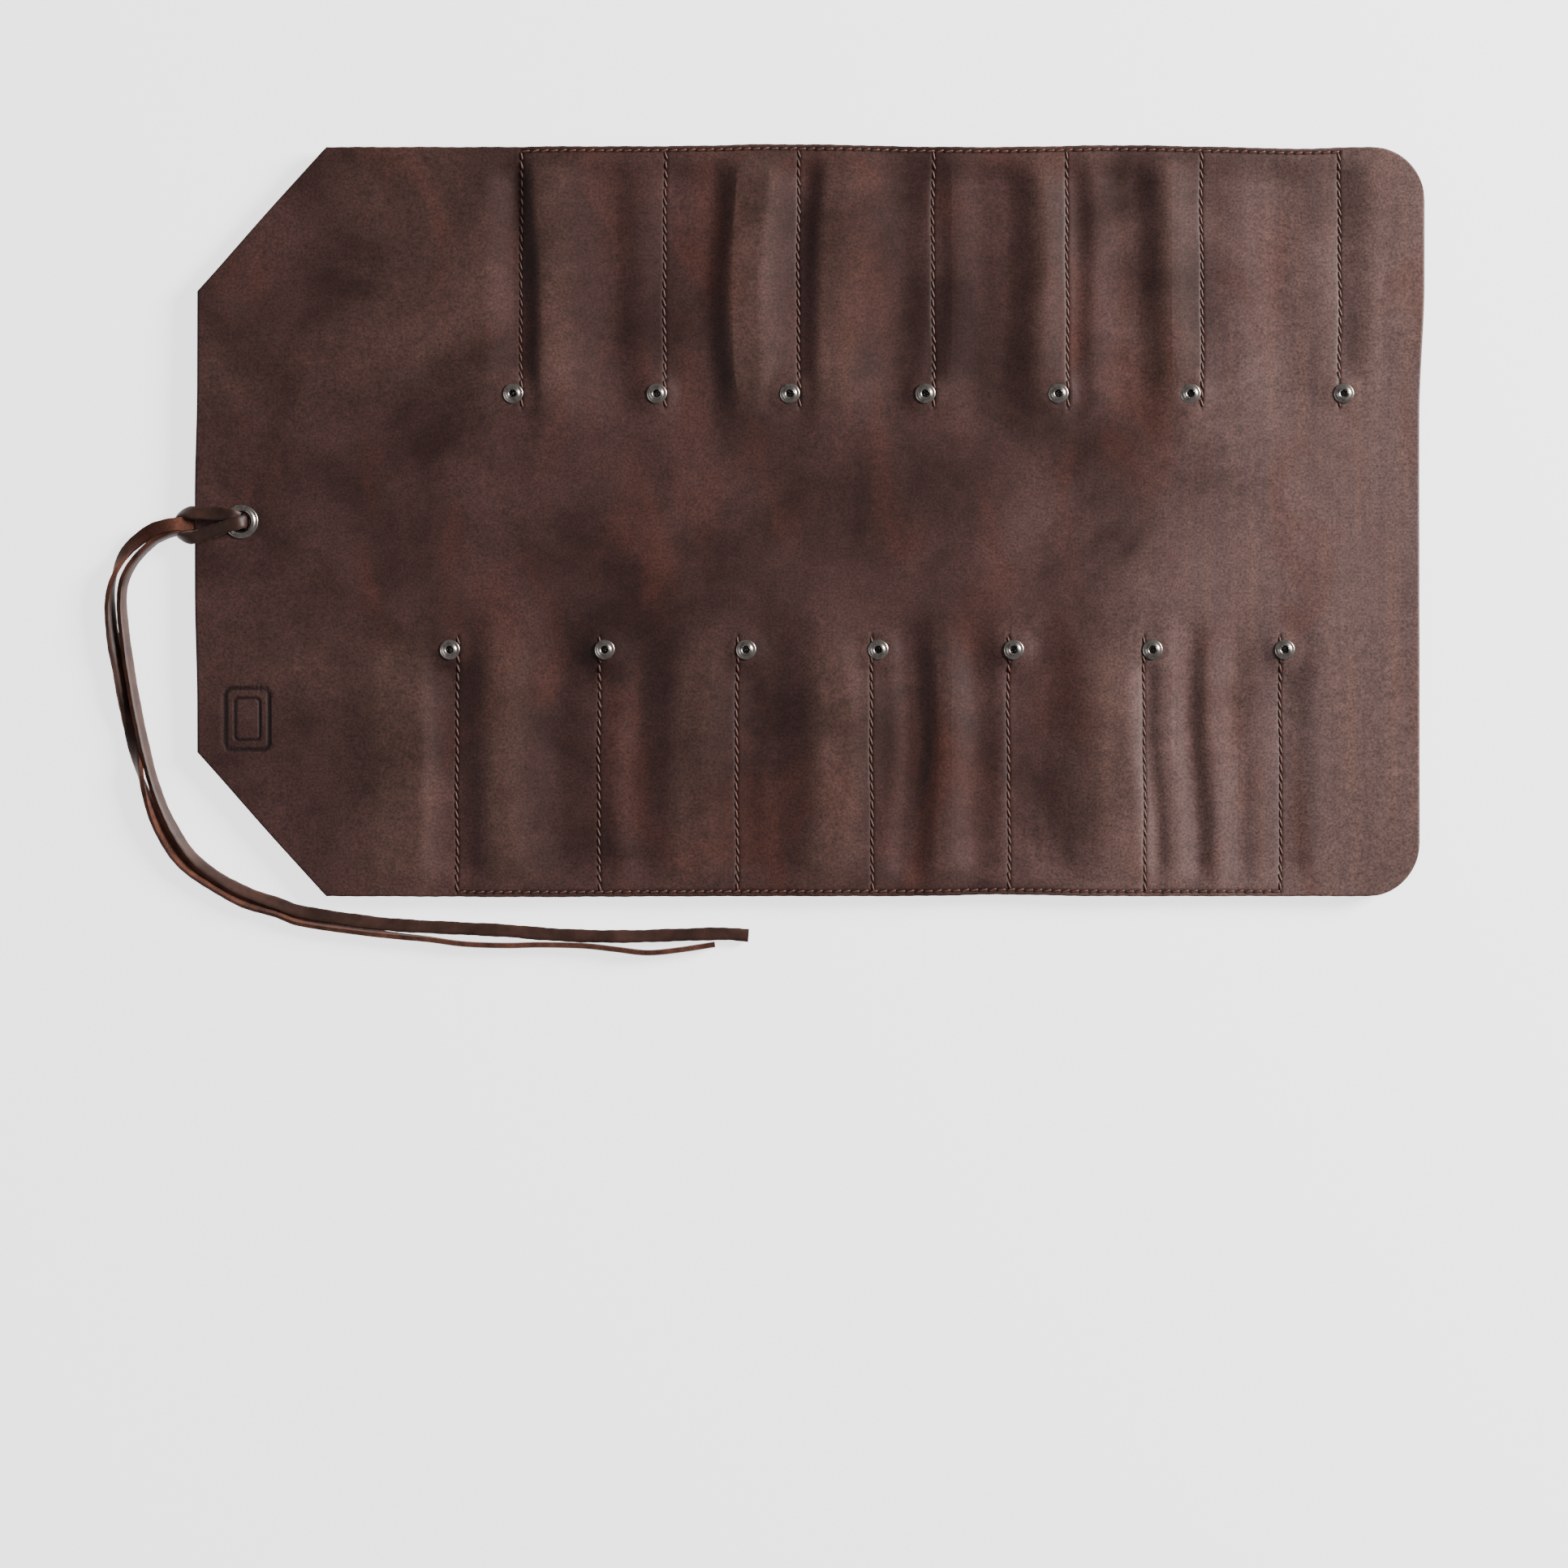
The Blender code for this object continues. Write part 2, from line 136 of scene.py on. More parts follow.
LONG_TAIL = (
    (-0.2655, -0.0022, 0.0030), (-0.2740, -0.0028, 0.0015), (-0.2850, -0.0040, 0.0017),
    (-0.2920, -0.0046, 0.0052), (-0.2975, -0.0052, 0.0066), (-0.3035, -0.0074, 0.0048),
    (-0.3083, -0.0101, 0.0034),
    (-0.3162, -0.0180, LAID), (-0.3212, -0.0272, LAID), (-0.3225, -0.0376, LAID),
    (-0.3212, -0.0533, LAID), (-0.3186, -0.0716, LAID), (-0.3156, -0.0887, LAID),
    (-0.3120, -0.1057, LAID), (-0.3076, -0.1227, LAID), (-0.3010, -0.1397, LAID),
    (-0.2909, -0.1560, LAID), (-0.2782, -0.1666, LAID), (-0.2638, -0.1742, LAID),
    (-0.2495, -0.1792, LAID), (-0.2388, -0.1828, LAID), (-0.2168, -0.1864, LAID),
    (-0.1945, -0.1890, LAID), (-0.1649, -0.1906, LAID), (-0.1428, -0.1917, LAID),
    (-0.1250, -0.1932, LAID), (-0.1058, -0.1942, LAID), (-0.0836, -0.1944, LAID),
    (-0.0614, -0.1937, LAID), (-0.0407, -0.1932, LAID), (-0.0286, -0.1940, LAID),
)
# How the flat lace turns about its own length: share of the length, then degrees. At 0 the smooth
# face is up, at 90 it faces away from the case, at 180 the suede face is up, and at 270 the smooth
# face looks to the case.
SHORT_TURN = ((0, 180), (0.10, 182), (0.125, 215), (0.15, 262), (0.18, 296), (0.22, 320),
              (0.30, 338), (0.33, 384), (0.355, 440), (0.39, 486), (0.44, 498), (0.54, 492),
              (0.62, 470), (0.72, 452), (1, 452))
LONG_TURN = ((0, -4), (0.035, -10), (0.055, -62), (0.075, -84), (0.14, -70), (0.20, -62),
             (0.30, -58), (0.36, -60), (0.42, -47), (0.50, -34), (0.58, -22), (0.68, -10),
             (1, -4))

# The doubled lace: up through the eyelet, over the flap's end as two bands, and round the two
# tails that come from under the flap. Each point is x, y and z in millimetres, and how far the
# band leans outward there, in degrees.
HITCH = (
    (-267.6, 1.0, 3.8, 0), (-267.9, 1.4, 7.4, 0), (-269.6, 2.4, 9.6, 0),
    (-273.6, 3.3, 9.9, 0), (-278.5, 3.6, 9.2, 4), (-283.5, 3.9, 8.8, 8),
    (-287.8, 4.1, 8.4, 16), (-291.6, 4.1, 7.0, 42), (-294.6, 3.3, 5.2, 74),
    (-296.4, 1.4, 3.6, 86), (-297.1, -1.4, 3.2, 88), (-296.6, -4.4, 3.5, 86),
    (-294.9, -6.4, 5.2, 74), (-291.7, -7.4, 7.0, 42), (-287.8, -7.4, 8.5, 16),
    (-283.0, -5.9, 9.3, 6), (-277.5, -4.1, 10.4, 2), (-271.5, -2.2, 11.9, 0),
    (-267.2, -0.9, 12.0, 0), (-265.0, -0.3, 10.2, 0), (-264.5, -0.2, 7.0, 0),
    (-264.5, -0.2, 3.8, 0),
)

# ---- the table ----
TABLE_GLOW = 2.0           # how brightly the table glows of its own
OPENING_INSET = 16 * MM    # how far the opening under the case lies inside its outline
LOWER_BOARD_DEPTH = 0.17   # deeper than the rolled case
PLAIN_PAINT = "matt white painted board"


# ---------------------------------------------------------------- camera, light and table
def add_camera():
    """Looks straight down, with the case in the upper half of the frame."""
    frame_width = 0.7342
    lens, sensor = 100.0, 36.0
    camera = bpy.data.objects.new("camera", bpy.data.cameras.new("camera"))
    camera.data.lens, camera.data.sensor_width = lens, sensor
    camera.location = (-0.0120, -0.1229, OUTER_TOP + frame_width * lens / sensor)
    camera.data.clip_end = 20
    bpy.context.scene.collection.objects.link(camera)
    bpy.context.scene.camera = camera


def add_light(name, place, target, size, power, colour):
    """A soft square lamp that shines from place to target."""
    lamp = bpy.data.lights.new(name, "AREA")
    lamp.size, lamp.energy, lamp.color = size, power, colour
    holder = bpy.data.objects.new(name, lamp)
    holder.location = place
    holder.rotation_euler = (Vector(target) - Vector(place)).to_track_quat("-Z", "Y").to_euler()
    bpy.context.scene.collection.objects.link(holder)


def add_lights():
    """A large window-like lamp low on the right, and weak fill from the left."""
    add_light("window", (2.35, 0.85, 0.98), (0.0, 0, 0), 0.90, 236, (1.0, 0.985, 0.96))
    add_light("bounce_card", (-1.7, -0.5, 1.5), (0, -0.1, 0), 1.4, 9, (0.97, 0.98, 1.0))
    world = bpy.data.worlds.new("studio")
    world.use_nodes = True
    world.node_tree.nodes["Background"].inputs["Color"].default_value = (0.95, 0.96, 1.0, 1)
    world.node_tree.nodes["Background"].inputs["Strength"].default_value = 0.19
    bpy.context.scene.world = world


# ---------------------------------------------------------------- materials
def hex_colour(code):
    """An sRGB hex code as linear red, green, blue and alpha."""
    channels = [int(code[i:i + 2], 16) / 255 for i in (0, 2, 4)]
    linear = [c / 12.92 if c <= 0.04045 else ((c + 0.055) / 1.055) ** 2.4 for c in channels]
    return (*linear, 1.0)


def add(tree, kind, inputs=None, **settings):
    """Adds a node with its settings; an input given a socket is linked, and any other is set."""
    made = tree.nodes.new(kind)
    for name, value in settings.items():
        setattr(made, name, value)
    for key, value in (inputs or {}).items():
        if isinstance(value, bpy.types.NodeSocket):
            tree.links.new(value, made.inputs[key])
        else:
            made.inputs[key].default_value = value
    return made


def start_material(name, constants):
    """A new material's tree, its shader with these constants, and its Object coordinates."""
    made = bpy.data.materials.new(name)
    made.use_nodes = True
    tree = made.node_tree
    shader = tree.nodes["Principled BSDF"]
    for socket, value in constants.items():
        shader.inputs[socket].default_value = value
    return made, tree, shader, add(tree, "ShaderNodeTexCoord").outputs["Object"]


def per_metre(size):
    """The noise scale that gives features of this size."""
    return 1 / size


def oiled_leather():
    """Oiled pull-up leather, buffed: cloudy dark brown, paler and redder where it is bent, with a fine
    short nap and a low waxy sheen. Painted light makes its right end paler and greyer; its seams and
    the mark are darker, partly as pressed leather and partly as painted shade."""
    made, tree, shader, place = start_material("oiled pull-up leather", {
        "Specular IOR Level": 0.26, "Sheen Weight": 0.03, "Sheen Roughness": 0.5,
    })
    cloud = add(tree, "ShaderNodeTexNoise", {"Vector": place, "Scale": per_metre(62 * MM),
                "Detail": 4, "Roughness": 0.55, "Distortion": 0.4})
    dark_to_mid = add(tree, "ShaderNodeValToRGB", {"Fac": cloud.outputs["Fac"]})
    dark_to_mid.color_ramp.elements[0].position = 0.36
    dark_to_mid.color_ramp.elements[0].color = hex_colour("2b1714")
    dark_to_mid.color_ramp.elements[1].position = 0.66
    dark_to_mid.color_ramp.elements[1].color = hex_colour("442b28")

    # painted light: the right end, nearest the window lamp, is painted paler and greyer
    across = add(tree, "ShaderNodeSeparateXYZ", {"Vector": place})
    wander = add(tree, "ShaderNodeMath", {0: cloud.outputs["Fac"], 1: 0.16},
                 operation="MULTIPLY")
    shifted = add(tree, "ShaderNodeMath", {0: across.outputs["X"], 1: wander.outputs[0]},
                  operation="ADD")
    tilted = add(tree, "ShaderNodeMath", {0: across.outputs["Y"], 1: -0.16,
                 2: shifted.outputs[0]}, operation="MULTIPLY_ADD")
    painted_lit_end = add(tree, "ShaderNodeMapRange", {"Value": tilted.outputs[0], "From Min": 0.18,
                   "From Max": 0.33, "To Min": 0.0, "To Max": 0.66},
                   interpolation_type="SMOOTHSTEP")
    painted_lit = add(tree, "ShaderNodeMix", {"Factor": painted_lit_end.outputs["Result"],
                "A": dark_to_mid.outputs["Color"], "B": hex_colour("604b49")}, data_type="RGBA")

    # long pale streaks along the pockets: more painted light, only towards the right end
    stretched = add(tree, "ShaderNodeMapping", {"Vector": place, "Scale": (1.0, 0.045, 1.0)})
    streak = add(tree, "ShaderNodeTexNoise", {"Vector": stretched.outputs["Vector"],
                 "Scale": per_metre(7 * MM), "Detail": 3, "Roughness": 0.6})
    streak_range = add(tree, "ShaderNodeMapRange", {"Value": streak.outputs["Fac"],
                       "From Min": 0.42, "From Max": 0.74, "To Min": 0.0, "To Max": 0.42})
    streak_part = add(tree, "ShaderNodeMath", {0: streak_range.outputs["Result"],
                      1: painted_lit_end.outputs["Result"]}, operation="MULTIPLY")
    streaked = add(tree, "ShaderNodeMix", {"Factor": streak_part.outputs[0],
                   "A": painted_lit.outputs["Result"], "B": hex_colour("785848")}, data_type="RGBA")

    # red-brown patches, where the oil has moved
    moved = add(tree, "ShaderNodeMapping", {"Vector": place, "Location": (0.37, 0.11, 0),
                "Scale": (1.0, 0.45, 1.0)})
    patch = add(tree, "ShaderNodeTexNoise", {"Vector": moved.outputs["Vector"],
                "Scale": per_metre(34 * MM), "Detail": 3, "Roughness": 0.5, "Distortion": 0.8})
    patch_range = add(tree, "ShaderNodeMapRange", {"Value": patch.outputs["Fac"],
                      "From Min": 0.50, "From Max": 0.74, "To Min": 0.0, "To Max": 0.42},
                      interpolation_type="SMOOTHSTEP")
    reddened = add(tree, "ShaderNodeMix", {"Factor": patch_range.outputs["Result"],
                   "A": streaked.outputs["Result"], "B": hex_colour("522c23")},
                   data_type="RGBA")

    # stretched crests pull up paler; the sewn grooves and the pressed mark are darker,
    # partly as pressed leather and partly as painted shade in the seams
    puff = add(tree, "ShaderNodeAttribute", attribute_name="puff")
    puff_part = add(tree, "ShaderNodeMath", {0: puff.outputs["Fac"], 1: cloud.outputs["Fac"]},
                    operation="MULTIPLY")
    pulled = add(tree, "ShaderNodeMix", {"Factor": puff_part.outputs[0],
                 "A": reddened.outputs["Result"], "B": hex_colour("5f463d")}, data_type="RGBA")
    groove = add(tree, "ShaderNodeAttribute", attribute_name="groove")
    pressed_and_shaded = add(tree, "ShaderNodeMix", {"Factor": groove.outputs["Fac"],
                  "A": pulled.outputs["Result"], "B": hex_colour("0e0605")}, data_type="RGBA")

    # the short nap: coarser than the real one, so that it still shows
    nap = add(tree, "ShaderNodeTexNoise", {"Vector": place, "Scale": per_metre(1.1 * MM),
              "Detail": 4, "Roughness": 0.7})
    nap_range = add(tree, "ShaderNodeMapRange", {"Value": nap.outputs["Fac"], "From Min": 0.3,
                    "From Max": 0.7, "To Min": 0.42, "To Max": 1.58})
    # and the mottling that buffing leaves, about 6 mm across
    mottle = add(tree, "ShaderNodeTexNoise", {"Vector": place, "Scale": per_metre(6 * MM),
                 "Detail": 5, "Roughness": 0.72})
    mottle_range = add(tree, "ShaderNodeMapRange", {"Value": mottle.outputs["Fac"],
                       "From Min": 0.35, "From Max": 0.65, "To Min": 0.86, "To Max": 1.14})
    tone = add(tree, "ShaderNodeMath", {0: nap_range.outputs["Result"],
               1: mottle_range.outputs["Result"]}, operation="MULTIPLY")
    shaded = add(tree, "ShaderNodeMix", {"Factor": 1.0, "A": pressed_and_shaded.outputs["Result"],
                 "B": tone.outputs[0]}, data_type="RGBA", blend_type="MULTIPLY")
    tree.links.new(shaded.outputs["Result"], shader.inputs["Base Color"])

    gloss = add(tree, "ShaderNodeMapRange", {"Value": cloud.outputs["Fac"], "From Min": 0.3,
                "From Max": 0.7, "To Min": 0.50, "To Max": 0.64})
    tree.links.new(gloss.outputs["Result"], shader.inputs["Roughness"])
    bump = add(tree, "ShaderNodeBump", {"Strength": 0.35, "Distance": 0.12 * MM,
               "Height": nap.outputs["Fac"]})
    tree.links.new(bump.outputs["Normal"], shader.inputs["Normal"])
    return made


def suede(name, dark, light, grain):
    """The flesh side or a cut edge of leather: raised fibres that scatter light, no gloss."""
    made, tree, shader, place = start_material(name, {
        "Roughness": 0.92, "Specular IOR Level": 0.12, "Sheen Weight": 0.08,
        "Sheen Roughness": 0.6,
    })
    fibre = add(tree, "ShaderNodeTexNoise", {"Vector": place, "Scale": per_metre(grain),
                "Detail": 5, "Roughness": 0.75})
    cloud = add(tree, "ShaderNodeTexNoise", {"Vector": place, "Scale": per_metre(9 * MM),
                "Detail": 2})
    mixed = add(tree, "ShaderNodeMath", {0: fibre.outputs["Fac"], 1: cloud.outputs["Fac"]},
                operation="ADD")
    shade = add(tree, "ShaderNodeMapRange", {"Value": mixed.outputs[0], "From Min": 0.72,
                "From Max": 1.28})
    colour = add(tree, "ShaderNodeMix", {"Factor": shade.outputs["Result"],
                 "A": hex_colour(dark), "B": hex_colour(light)}, data_type="RGBA")
    tree.links.new(colour.outputs["Result"], shader.inputs["Base Color"])
    bump = add(tree, "ShaderNodeBump", {"Strength": 0.8, "Distance": 0.25 * MM,
               "Height": fibre.outputs["Fac"]})
    tree.links.new(bump.outputs["Normal"], shader.inputs["Normal"])
    return made


def smooth_lace():
    """The grain side of the lace: the same oiled leather, cut narrow, smoother and even."""
    made, tree, shader, place = start_material("oiled lace grain side", {
        "Roughness": 0.5, "Specular IOR Level": 0.26,
    })
    cloud = add(tree, "ShaderNodeTexNoise", {"Vector": place, "Scale": per_metre(16 * MM),
                "Detail": 4, "Roughness": 0.6})
    colour = add(tree, "ShaderNodeValToRGB", {"Fac": cloud.outputs["Fac"]})
    colour.color_ramp.elements[0].position = 0.35
    colour.color_ramp.elements[0].color = hex_colour("281611")
    colour.color_ramp.elements[1].position = 0.70
    colour.color_ramp.elements[1].color = hex_colour("472f27")
    tree.links.new(colour.outputs["Color"], shader.inputs["Base Color"])
    grain = add(tree, "ShaderNodeTexNoise", {"Vector": place, "Scale": per_metre(0.8 * MM),
                "Detail": 3})
    bump = add(tree, "ShaderNodeBump", {"Strength": 0.3, "Distance": 0.1 * MM,
               "Height": grain.outputs["Fac"]})
    tree.links.new(bump.outputs["Normal"], shader.inputs["Normal"])
    return made


def waxed_thread():
    """Waxed polyester thread, twisted from two plies, red-brown with pale highlights."""
    made, tree, shader, place = start_material("waxed polyester thread", {
        "Roughness": 0.5, "Specular IOR Level": 0.3,
    })
    ply = add(tree, "ShaderNodeTexNoise", {"Vector": place, "Scale": per_metre(1.2 * MM),
              "Detail": 2})
    colour = add(tree, "ShaderNodeMix", {"Factor": ply.outputs["Fac"],
                 "A": hex_colour("381e18"), "B": hex_colour("6e473b")}, data_type="RGBA")
    tree.links.new(colour.outputs["Result"], shader.inputs["Base Color"])
    return made


def antique_nickel():
    """Nickel plate on brass, tumbled and darkened: bright on its rims, grey-brown in its folds."""
    made, tree, shader, place = start_material("antique nickel plate", {
        "Metallic": 1.0,
    })
    stain = add(tree, "ShaderNodeTexNoise", {"Vector": place, "Scale": per_metre(2.5 * MM),
                "Detail": 4, "Roughness": 0.65})
    colour = add(tree, "ShaderNodeValToRGB", {"Fac": stain.outputs["Fac"]})
    colour.color_ramp.elements[0].position = 0.3
    colour.color_ramp.elements[0].color = hex_colour("786e66")
    colour.color_ramp.elements[1].position = 0.6
    colour.color_ramp.elements[1].color = hex_colour("c2b8b0")
    tree.links.new(colour.outputs["Color"], shader.inputs["Base Color"])
    rough = add(tree, "ShaderNodeMapRange", {"Value": stain.outputs["Fac"], "From Min": 0.3,
                "From Max": 0.7, "To Min": 0.34, "To Max": 0.20})
    tree.links.new(rough.outputs["Result"], shader.inputs["Roughness"])
    bump = add(tree, "ShaderNodeBump", {"Strength": 0.08, "Distance": 0.03 * MM,
               "Height": stain.outputs["Fac"]})
    tree.links.new(bump.outputs["Normal"], shader.inputs["Normal"])
    return made


def painted_board(name, glow=0.0):
    """A matt white painted board. An even glow of its own keeps the table nearly white."""
    return start_material(name, {
        "Base Color": hex_colour("f4f4f4"), "Roughness": 0.8,
        "Emission Color": hex_colour("fcfcff"), "Emission Strength": glow,
    })[0]


# ---------------------------------------------------------------- shaping tools
def grid(name, columns, rows, layers=1):
    """A flat grid of columns by rows points, or a closed slab of two such layers. Returns it
    with each point's column, row and layer, so that its shape can be worked out from them."""
    bpy.ops.object.select_all(action="DESELECT")
    bpy.ops.mesh.primitive_grid_add(x_subdivisions=columns - 1, y_subdivisions=rows - 1, size=2)
    piece = bpy.context.object
    piece.name = piece.data.name = name
    if layers == 2:
        bpy.ops.object.mode_set(mode="EDIT")
        bpy.ops.mesh.select_all(action="SELECT")
        bpy.ops.mesh.extrude_region_move(TRANSFORM_OT_translate={"value": (0, 0, 1)})
        bpy.ops.mesh.select_all(action="SELECT")
        bpy.ops.mesh.normals_make_consistent(inside=False)
        bpy.ops.object.mode_set(mode="OBJECT")
    places = np.zeros(len(piece.data.vertices) * 3)
    piece.data.vertices.foreach_get("co", places)
    places = places.reshape(-1, 3)
    column = np.rint((places[:, 0] + 1) / 2 * (columns - 1)).astype(int)
    row = np.rint((places[:, 1] + 1) / 2 * (rows - 1)).astype(int)
    return piece, column, row, np.rint(places[:, 2]).astype(int)


def set_places(piece, places):
    """Moves all of a piece's points to places."""
    piece.data.vertices.foreach_set("co", np.ascontiguousarray(places, float).ravel())
    piece.data.update()


def set_attribute(piece, name, values):
    """Stores one number for each point, for the materials."""
    attribute = piece.data.attributes.new(name, "FLOAT", "POINT")
    attribute.data.foreach_set("value", np.asarray(values, np.float32))


def finish_mesh(piece, angle, merge=True):
    """Welds doubled points, turns the faces out and shades the piece smooth but for edges
    sharper than angle."""
    bpy.ops.object.select_all(action="DESELECT")
    piece.select_set(True)
    bpy.context.view_layer.objects.active = piece
    if merge:
        bpy.ops.object.mode_set(mode="EDIT")
        bpy.ops.mesh.select_all(action="SELECT")
        bpy.ops.mesh.remove_doubles(threshold=0.002 * MM)
        bpy.ops.mesh.normals_make_consistent(inside=False)
        bpy.ops.object.mode_set(mode="OBJECT")
    bpy.ops.object.shade_smooth_by_angle(angle=math.radians(angle))


def revolved(name, profile, centre, segments, material):
    """A closed ring turned round an upright axis from a loop of (radius, height) points."""
    loop = np.array([*profile, profile[0]])
    piece, column, row, _ = grid(name, len(loop), segments + 1)
    turn = 2 * math.pi * (row % segments) / segments
    radius, height = loop[column, 0], loop[column, 1]
    set_places(piece, np.column_stack([
        centre[0] + radius * np.cos(turn), centre[1] + radius * np.sin(turn), height
    ]))
    finish_mesh(piece, 50)
    piece.data.materials.append(material)
    return piece


def cut_hole(piece, centre, radius):
    """Punches a round hole through a piece of leather."""
    bpy.ops.object.select_all(action="DESELECT")
    bpy.ops.mesh.primitive_cylinder_add(vertices=24, radius=radius, depth=30 * MM,
                                        location=(centre[0], centre[1], 0))
    punch = bpy.context.object
    modifier = piece.modifiers.new("hole", "BOOLEAN")
    modifier.operation, modifier.object, modifier.solver = "DIFFERENCE", punch, "EXACT"
    bpy.context.view_layer.objects.active = piece
    bpy.ops.object.modifier_apply(modifier=modifier.name)
    bpy.data.objects.remove(punch)


# ---------------------------------------------------------------- the leather's shape
def soft(t):
    """0 below 0, 1 above 1, and a smooth step between."""
    t = np.clip(t, 0, 1)
    return t * t * (3 - 2 * t)


def ramp(value, low, high):
    """A smooth step from 0 at low to 1 at high."""
    return soft((value - low) / (high - low))


def bell(distance, width):
    """1 at 0, and fading to nothing a little beyond width."""
    return np.exp(-((distance / width) ** 2))


def half_width(x):
    """Half the sheet's width at x: slanted at the flap, round at the two far corners."""
    slanted = FLAP_HALF + (HALF_WIDTH - FLAP_HALF) * (x - LEFT) / CHAMFER
    into = np.clip(x - (RIGHT - CORNER_RADIUS), 0, CORNER_RADIUS)
    rounded = HALF_WIDTH - CORNER_RADIUS + np.sqrt(CORNER_RADIUS**2 - into**2)
    return np.where(x < LEFT + CHAMFER, slanted, rounded)


def drawn_in(x, y):
    """How far the sheet's outline and the leather near it are drawn out of their flat places."""
    top = 1.3 * bell(x + 8 * MM, 48 * MM) + 0.9 * bell(x - 146 * MM, 34 * MM)
    top = top + 0.4 * bell(x + 100 * MM, 40 * MM) - 0.7 * bell(x - 228 * MM, 20 * MM)
    bottom = 0.4 * bell(x + 130 * MM, 60 * MM) - 0.8 * bell(x - 90 * MM, 26 * MM)
    up = top * ramp(y, 90 * MM, HALF_WIDTH) - bottom * ramp(-y, 90 * MM, HALF_WIDTH)
    right = -2.3 * (1 - ramp(y, 50 * MM, 112 * MM)) * ramp(x, 238 * MM, RIGHT)
    left = 1.1 * ramp(np.abs(y + 10 * MM), 20 * MM, 75 * MM) * (1 - ramp(x, LEFT, LEFT + 40 * MM))
    fray = 0.13 * np.sin(x / (1.9 * MM)) * np.sin(x / (3.1 * MM) + 1) * ramp(
        np.abs(y), HALF_WIDTH - 2 * MM, HALF_WIDTH)
    return (right + left) * MM, (up + fray * np.sign(y)) * MM


def wander(x, y):
    """How far folds and seams stray sideways from straight lines, in metres."""
    slow = 2.2 * np.sin(y / (41 * MM) + x / (55 * MM))
    quick = 0.9 * np.sin(y / (16 * MM) - x / (33 * MM))
    return (slow + quick) * MM


def seam_line(x, y):
    """How far a hand-guided seam strays from straight."""
    slow = 0.30 * np.sin(y / (23 * MM) + 9 * x / (100 * MM))
    quick = 0.16 * np.sin(y / (7 * MM) + x / (20 * MM))
    return (slow + quick) * MM


def puffs(x, folds):
    """The height of the puffed folds at x."""
    total = np.zeros_like(x)
    for rise, rise_width, fall, fall_width, height in folds:
        up = ramp(x, (rise - rise_width / 2) * MM, (rise + rise_width / 2) * MM)
        down = ramp(x, (fall - fall_width / 2) * MM, (fall + fall_width / 2) * MM)
        total = total + height * MM * (up - down)
    return total


def near_seam(x, y):
    """1 on a line of stitches, fading to 0 within about a millimetre."""
    total = np.zeros_like(x)
    for row, side in SIDE.items():
        on_row = ramp(side * y, SEAM_END - 1.0 * MM, SEAM_END) * (
            1 - ramp(side * y, HALF_WIDTH - STITCH_INSET, HALF_WIDTH - STITCH_INSET + 1.0 * MM))
        for seam in SEAMS[row]:
            total = np.maximum(total, on_row * bell(x - seam - seam_line(x * 0 + seam, y), 0.85 * MM))
        along = ramp(x, SEAMS[row][0] - 1.0 * MM, SEAMS[row][0]) * (
            1 - ramp(x, SEAMS[row][-1], SEAMS[row][-1] + 1.0 * MM))
        total = np.maximum(total, along * bell(side * y - HALF_WIDTH + STITCH_INSET, 0.8 * MM))
    return total


def near_rivet(x, y):
    """The distance to the nearest rivet."""
    nearest = np.full_like(x, 1.0)
    for row in RIVETS.values():
        for rivet in row:
            nearest = np.minimum(nearest, np.hypot(x - rivet.x, y - rivet.y))
    return nearest


def rounded_frame(x, y, inset, corner, line):
    """1 on the line of a rounded rectangle inside the mark's outline, and 0 off it."""
    across = np.maximum(np.abs(x - MARK_CENTRE[0]) - (MARK_HALF[0] - inset - corner), 0)
    along = np.maximum(np.abs(y - MARK_CENTRE[1]) - (MARK_HALF[1] - inset - corner), 0)
    distance = np.abs(np.hypot(across, along) - corner)
    return 1 - ramp(distance, line / 2, line / 2 + 0.35 * MM)


def pressed_mark(x, y):
    """The plain mark pressed into the flap: one rounded frame inside another."""
    return np.maximum(rounded_frame(x, y, 0, 3.2 * MM, 1.5 * MM),
                      rounded_frame(x, y, 4.6 * MM, 1.8 * MM, 1.0 * MM))


def slack(x, y):
    """The slack leather's height above or below its flat place, without seams and fittings."""
    strayed = x + wander(x, y)
    height = np.zeros_like(x)
    for row, side in SIDE.items():
        on_row = ramp(side * y, 34 * MM, 72 * MM) * (1 - 0.75 * ramp(side * y, 158 * MM, 171 * MM))
        panel = ramp(x, SEAMS[row][0] - 18 * MM, SEAMS[row][0]) * (
            1 - ramp(x, SEAMS[row][-1], SEAMS[row][-1] + 18 * MM))
        height = height + on_row * (puffs(strayed, PUFFS[row]) - SAG * panel)
    middle = 1 - ramp(np.abs(y), 30 * MM, 66 * MM)
    height = height - 0.55 * MM * middle
    ripple = 0.34 * np.sin(x / (27 * MM) + 1.2 * np.sin(y / (60 * MM))) * np.sin(y / (48 * MM) + 0.8)
    ripple = ripple + 0.16 * np.sin(x / (11 * MM) + y / (70 * MM)) * np.sin(y / (31 * MM) + x / (90 * MM))
    return np.minimum(height + ripple * MM, CREST - 0.05 * MM + 0.08 * (height + ripple * MM))


